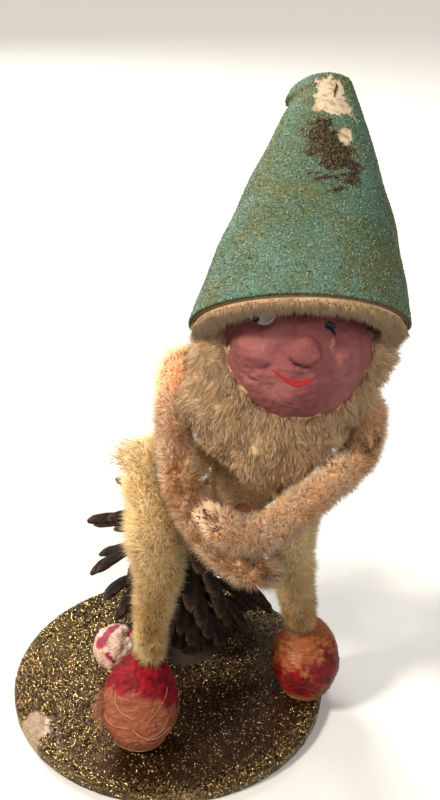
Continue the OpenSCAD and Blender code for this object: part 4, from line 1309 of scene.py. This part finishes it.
# Cream cotton with crimson bands and pale dots
def stoolMaterial():
    material, tree, shader, place = newMaterial("stoolCotton")
    chip = noise(tree, place, 1.0, 6, 0.7, warp=0.6)
    base = mixed(tree, between(tree, chip, 0.34, 0.6), (0.54, 0.30, 0.20), (0.80, 0.57, 0.44))
    red = mixed(tree, between(tree, chip, 0.4, 0.62), (0.42, 0.015, 0.07), (0.26, 0.02, 0.05))
    base = mixed(tree, value(tree, "crimson"), base, red)
    base = mixed(tree, value(tree, "dot"), base, (0.82, 0.62, 0.60))
    tree.links.new(base, shader.inputs["Base Color"])
    tree.links.new(maths(tree, "MULTIPLY_ADD", chip, 0.3, 0.35), shader.inputs["Roughness"])
    bump(tree, shader, chip, 0.6, 0.3)
    return material


print("toadstool")
stoolCotton = stoolMaterial()
makePiece("toadstoolCap", stoolCapPart(), stoolCotton, ["toadstool_cap"])
makePiece("toadstoolStem", stoolStemPart(), stoolCotton, ["toadstool_stem"])

# Board and its glitter. bald is the middle of the rubbed spot and baldSize its half width and depth.
board = {"radius": 38, "thick": 2.6, "top": 3.0, "lip": 0.3, "edge": 0.9, "grains": 54000, "seed": 121,
         "bald": (-30.5, -20.5), "baldSize": (3.4, 6.5)}


# Share of bare board at a place: a rubbed spot on the rim at the front left
def boardBald(points):
    off = np.hypot(*[(points[..., k] - board["bald"][k]) / board["baldSize"][k] for k in (0, 1)])
    return fade(-(off + lumps(points * np.array([1, 1, 0.3]), 3, 122) * 0.18), -1.05, -0.8)


# Share of painted shadow, the figure's shadow on the board, under a gloss coat: most at the front and right,
# none along the rim
def boardShadowAndGloss(points):
    run = 0.75 * points[..., 0] - 0.55 * points[..., 1] + 5 * lumps(points * np.array([1, 1, 0]), 17, 125)
    rim = fade(np.hypot(points[..., 0], points[..., 1]), 33.5, 36.5)
    return fade(run, -14, 8) * (1 - 0.85 * rim)


# Coat: up from the middle underside, out, down inside the rim, out, up, over the rounded edge and back in
def coatPart():
    r0, e, top = board["radius"], board["edge"], board["top"]
    arc = np.linspace(0, math.pi / 2, 7)
    inR = np.array([6, 20, r0 - 0.45, r0 - 0.45])
    inZ = np.array([board["thick"] + 0.02] * 3 + [board["lip"] + 0.05])
    sideZ = np.linspace(board["lip"], top - e, 8)
    ring = np.linspace(r0 - e - 0.3, 0.3, 80)
    r = np.concatenate([inR, [r0 - 0.15], np.full(8, r0), r0 - e + e * np.cos(arc[1:]), ring])
    z = np.concatenate([inZ, [board["lip"] - 0.02], sideZ, top - e + e * np.sin(arc[1:]), np.full(80, top)])
    a = (np.arange(240) * 2 * math.pi / 240)[None, :]
    grid = np.stack([r[:, None] * np.cos(a), r[:, None] * np.sin(a), z[:, None] + 0 * a], -1)
    outer = np.zeros((len(r), 1))
    outer[5:] = 1
    bald = boardBald(grid)
    lift = lumps(grid, 3.0, 123) * 0.035 + lumps(grid, 1.1, 124) * 0.035 - 0.05 - 0.1 * bald
    atRim = r[:, None] > r0 - e
    normal = np.stack([np.cos(a) * atRim, np.sin(a) * atRim, (z[:, None] > top - e) + 0 * a], -1)
    grid = grid + (outer * lift)[..., None] * unit(normal + 1e-9)
    points, faces = closedSurface(grid)
    return {"points": points, "faces": faces, "bald": closedValue(bald * outer),
            "shadowAndGloss": closedValue(boardShadowAndGloss(grid))}


# Glitter: small four-sided flakes at every tilt, half sunk in the coat
def glitterPart():
    draw = np.random.default_rng(board["seed"])
    n = board["grains"]
    nSide = n // 10
    r = board["radius"] - 0.6
    rho = r * np.sqrt(draw.uniform(0, 1, n - nSide))
    a = draw.uniform(0, 2 * math.pi, n)
    top = np.stack([rho * np.cos(a[nSide:]), rho * np.sin(a[nSide:]),
                    np.full(n - nSide, board["top"] - 0.03)], 1)
    edgeR = board["radius"] - 0.08
    edgeZ = draw.uniform(board["lip"] + 0.2, board["top"] - 0.5, nSide)
    edge = np.stack([edgeR * np.cos(a[:nSide]), edgeR * np.sin(a[:nSide]), edgeZ], 1)
    place = np.concatenate([edge, top])
    out = np.concatenate([unit(edge * np.array([1, 1, 0])), np.tile([0, 0, 1.0], (n - nSide, 1))])
    # fewer flakes where the figure's shadow is painted on the board
    thin = boardShadowAndGloss(place) * 0.82
    keep = (boardBald(place) < 0.3) & (draw.uniform(0, 1, n) > thin)
    place, out = place[keep], out[keep]
    m = len(place)
    size = draw.uniform(0.1, 0.34, m)
    lie = unit(draw.normal(size=(m, 3)) * np.array([1, 1, 0.6]) + out * 0.05)
    part = strandPart(place - lie * size[:, None], place + lie * size[:, None] + out * 0.03, size * 0.9,
                      draw.uniform(-1, 1, m))
    over = np.linalg.norm(part["points"][:, :2], axis=1) / board["radius"]
    part["points"][:, :2] /= np.maximum(over, 1)[:, None]
    return part


# Gold dust in varnish, darker where the figure's shadow is painted and glossier there, board where it is bald
def coatMaterial():
    material, tree, shader, place = newMaterial("goldCoat")
    cells = add(tree, "TexVoronoi", {"Vector": place, "Scale": 2600, "Randomness": 1.0})
    random = cells.outputs["Color"]
    broad = between(tree, noise(tree, place, 18, 4, 0.6), 0.38, 0.62)
    gold = mixed(tree, broad, (0.10, 0.052, 0.016), (0.22, 0.135, 0.045))
    dark = between(tree, noise(tree, place, 0.7, 4, 0.7), 0.42, 0.6)
    base = mixed(tree, dark, gold, (0.03, 0.018, 0.007))
    # painted shadow of the figure on the board, with a gloss coat over it
    base = mixed(tree, maths(tree, "MULTIPLY", value(tree, "shadowAndGloss"), 0.9), base, (0.05, 0.019, 0.005))
    tree.links.new(maths(tree, "MULTIPLY", value(tree, "shadowAndGloss"), 0.6), shader.inputs["Coat Weight"])
    kraft = mixed(tree, between(tree, noise(tree, place, 1.0, 5, 0.7), 0.4, 0.65), (0.44, 0.29, 0.17),
                  (0.33, 0.2, 0.1))
    base = mixed(tree, value(tree, "bald"), base, kraft)
    tree.links.new(base, shader.inputs["Base Color"])
    shine = maths(tree, "SUBTRACT", 0.75, value(tree, "bald"))
    tree.links.new(shine, shader.inputs["Metallic"])
    split = add(tree, "SeparateColor", {0: random}).outputs
    tree.links.new(maths(tree, "MULTIPLY_ADD", split[0], 0.35, 0.15), shader.inputs["Roughness"])
    bump(tree, shader, maths(tree, "ADD", split[1], noise(tree, place, 0.5, 3)), 0.9, 0.2)
    return material


# Bright gold flakes and some dark ones
def glitterMaterial():
    material, tree, shader, place = newMaterial("goldGlitter")
    tint = value(tree, "tint")
    base = mixed(tree, between(tree, tint, -0.2, 0.9), (0.30, 0.19, 0.06), (1.0, 0.80, 0.42))
    base = mixed(tree, between(tree, tint, 0.1, -0.3), base, (0.05, 0.03, 0.012))
    tree.links.new(base, shader.inputs["Base Color"])
    shader.inputs["Metallic"].default_value = 1.0
    tree.links.new(maths(tree, "MULTIPLY_ADD", noise(tree, place, 1.3, 3), 0.25, 0.05),
                   shader.inputs["Roughness"])
    return material


# Dark grains strewn round the foot of the cone
def darkGrainsPart():
    draw = np.random.default_rng(board["seed"] + 4)
    n = 2600
    rho = 10 + np.abs(draw.normal(0, 7.5, n))
    a = draw.uniform(0, 2 * math.pi, n)
    place = np.stack([cone["place"][0] + rho * np.cos(a), cone["place"][1] + rho * np.sin(a),
                      np.full(n, board["top"] + 0.05)], 1)
    place = place[np.linalg.norm(place[:, :2], axis=1) < board["radius"] - 1.2]
    m = len(place)
    size = draw.uniform(0.12, 0.42, m)
    lie = unit(draw.normal(size=(m, 3)) * np.array([1, 1, 0.4]))
    return strandPart(place - lie * size[:, None] * 0.6, place + lie * size[:, None], size * 0.8,
                      draw.uniform(-1, 1, m))


# Dark brown grains
def darkGrainMaterial():
    material, tree, shader, place = newMaterial("darkGrains")
    base = mixed(tree, between(tree, value(tree, "tint"), -0.6, 1.0), (0.02, 0.012, 0.007),
                 (0.16, 0.09, 0.03))
    tree.links.new(base, shader.inputs["Base Color"])
    tree.links.new(maths(tree, "MULTIPLY_ADD", noise(tree, place, 0.6, 3), 0.4, 0.2),
                   shader.inputs["Roughness"])
    return material


print("board")
makePiece("glitterCoat", coatPart(), coatMaterial(), ["glitter_coat"])
makePiece("glitterGrains", glitterPart(), glitterMaterial())
makePiece("darkConeGrains", darkGrainsPart(), darkGrainMaterial())


# The bead on the belly: an oval of half sizes times cos and sin of the two angles
def beadPart():
    p = np.linspace(math.pi - 0.03, 0.03, 40)[:, None]
    a = (np.arange(48) * 2 * math.pi / 48)[None, :]
    lo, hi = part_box("waist_bead")
    middle = (np.array(lo) + np.array(hi)) / 2 / mm
    x, y, z = 2.0 * np.sin(p) * np.cos(a), 1.25 * np.cos(p) + 0 * a, 1.5 * np.sin(p) * np.sin(a)
    points, faces = closedSurface(np.stack([x, y, z], -1)[::-1] + middle)
    return {"points": points, "faces": faces}


# Clouds of two colours with a soft gloss
def glueMaterial(name, main, dark, rough):
    material, tree, shader, place = newMaterial(name)
    cloud = noise(tree, place, 1.2, 4, 0.65)
    tree.links.new(mixed(tree, between(tree, cloud, 0.38, 0.64), main, dark), shader.inputs["Base Color"])
    tree.links.new(maths(tree, "MULTIPLY_ADD", cloud, 0.3, rough), shader.inputs["Roughness"])
    bump(tree, shader, cloud, 0.4, 0.2)
    return material


beadEnamel = glueMaterial("beadEnamel", (0.42, 0.15, 0.05), (0.26, 0.09, 0.04), 0.25)
makePiece("waistBead", beadPart(), beadEnamel, ["waist_bead"])
amber = glueMaterial("amberGlue", (0.20, 0.10, 0.03), (0.08, 0.04, 0.015), 0.2)
# near black for the glue under the pine cone: painted shade under the cone
shadedConeGlue = glueMaterial("shadedConeGlue", (0.035, 0.02, 0.009), (0.015, 0.009, 0.005), 0.3)
kraftBoard = glueMaterial("kraftBoard", (0.34, 0.22, 0.12), (0.24, 0.15, 0.08), 0.7)
# construction pieces that are kept as they are, with their finish
for name, material in (("cone_glue", shadedConeGlue), ("seat_glue", amber), ("right_foot_glue", amber),
                       ("left_foot_glue", amber), ("neck_wire", dullWire), ("base_board", kraftBoard)):
    nodes[name].data.materials.clear()
    nodes[name].data.materials.append(material)


# Pale floor and a weak even light from all round
def makeStage():
    bpy.ops.mesh.primitive_plane_add(size=6, location=(0, 0, 0))
    floor = bpy.context.object
    floor.name = "paleFloor"
    material, tree, shader, place = newMaterial("paleFloor")
    shader.inputs["Base Color"].default_value = (0.86, 0.86, 0.85, 1)
    shader.inputs["Roughness"].default_value = 0.9
    floor.data.materials.append(material)
    floor.visible_diffuse = False
    world = bpy.data.worlds.new("studioWorld")
    world.use_nodes = True
    background = world.node_tree.nodes["Background"]
    background.inputs["Color"].default_value = (1, 0.99, 0.97, 1)
    background.inputs["Strength"].default_value = 0.22
    bpy.context.scene.world = world


# A low soft sun from the left and a little in front, and softboxes: place, aim, size in metres, power, colour
boxes = [((0.32, -0.75, 0.6), 0.5, 4.0, (1, 0.95, 0.88)), ((-0.5, 0.85, 0.78), 0.45, 12, (1, 0.95, 0.88))]


def makeLights():
    sun = bpy.data.lights.new("windowSun", "SUN")
    sun.energy, sun.angle, sun.color = 3.15, math.radians(12), (1, 0.92, 0.8)
    key = bpy.data.objects.new("windowSun", sun)
    key.rotation_euler = Vector((-0.85, -0.4, 0.72)).to_track_quat("Z", "Y").to_euler()
    bpy.context.scene.collection.objects.link(key)
    for place, size, power, tone in boxes:
        lamp = bpy.data.lights.new("softBox", "AREA")
        lamp.energy, lamp.size, lamp.color = power, size, tone
        obj = bpy.data.objects.new("softBox", lamp)
        obj.location = place
        obj.rotation_euler = (Vector(place) - Vector((0.01, 0, 0.06))).to_track_quat("Z", "Y").to_euler()
        bpy.context.scene.collection.objects.link(obj)


makeStage()
makeLights()
bpy.context.scene.view_settings.view_transform = "Standard"
print("studio ready")
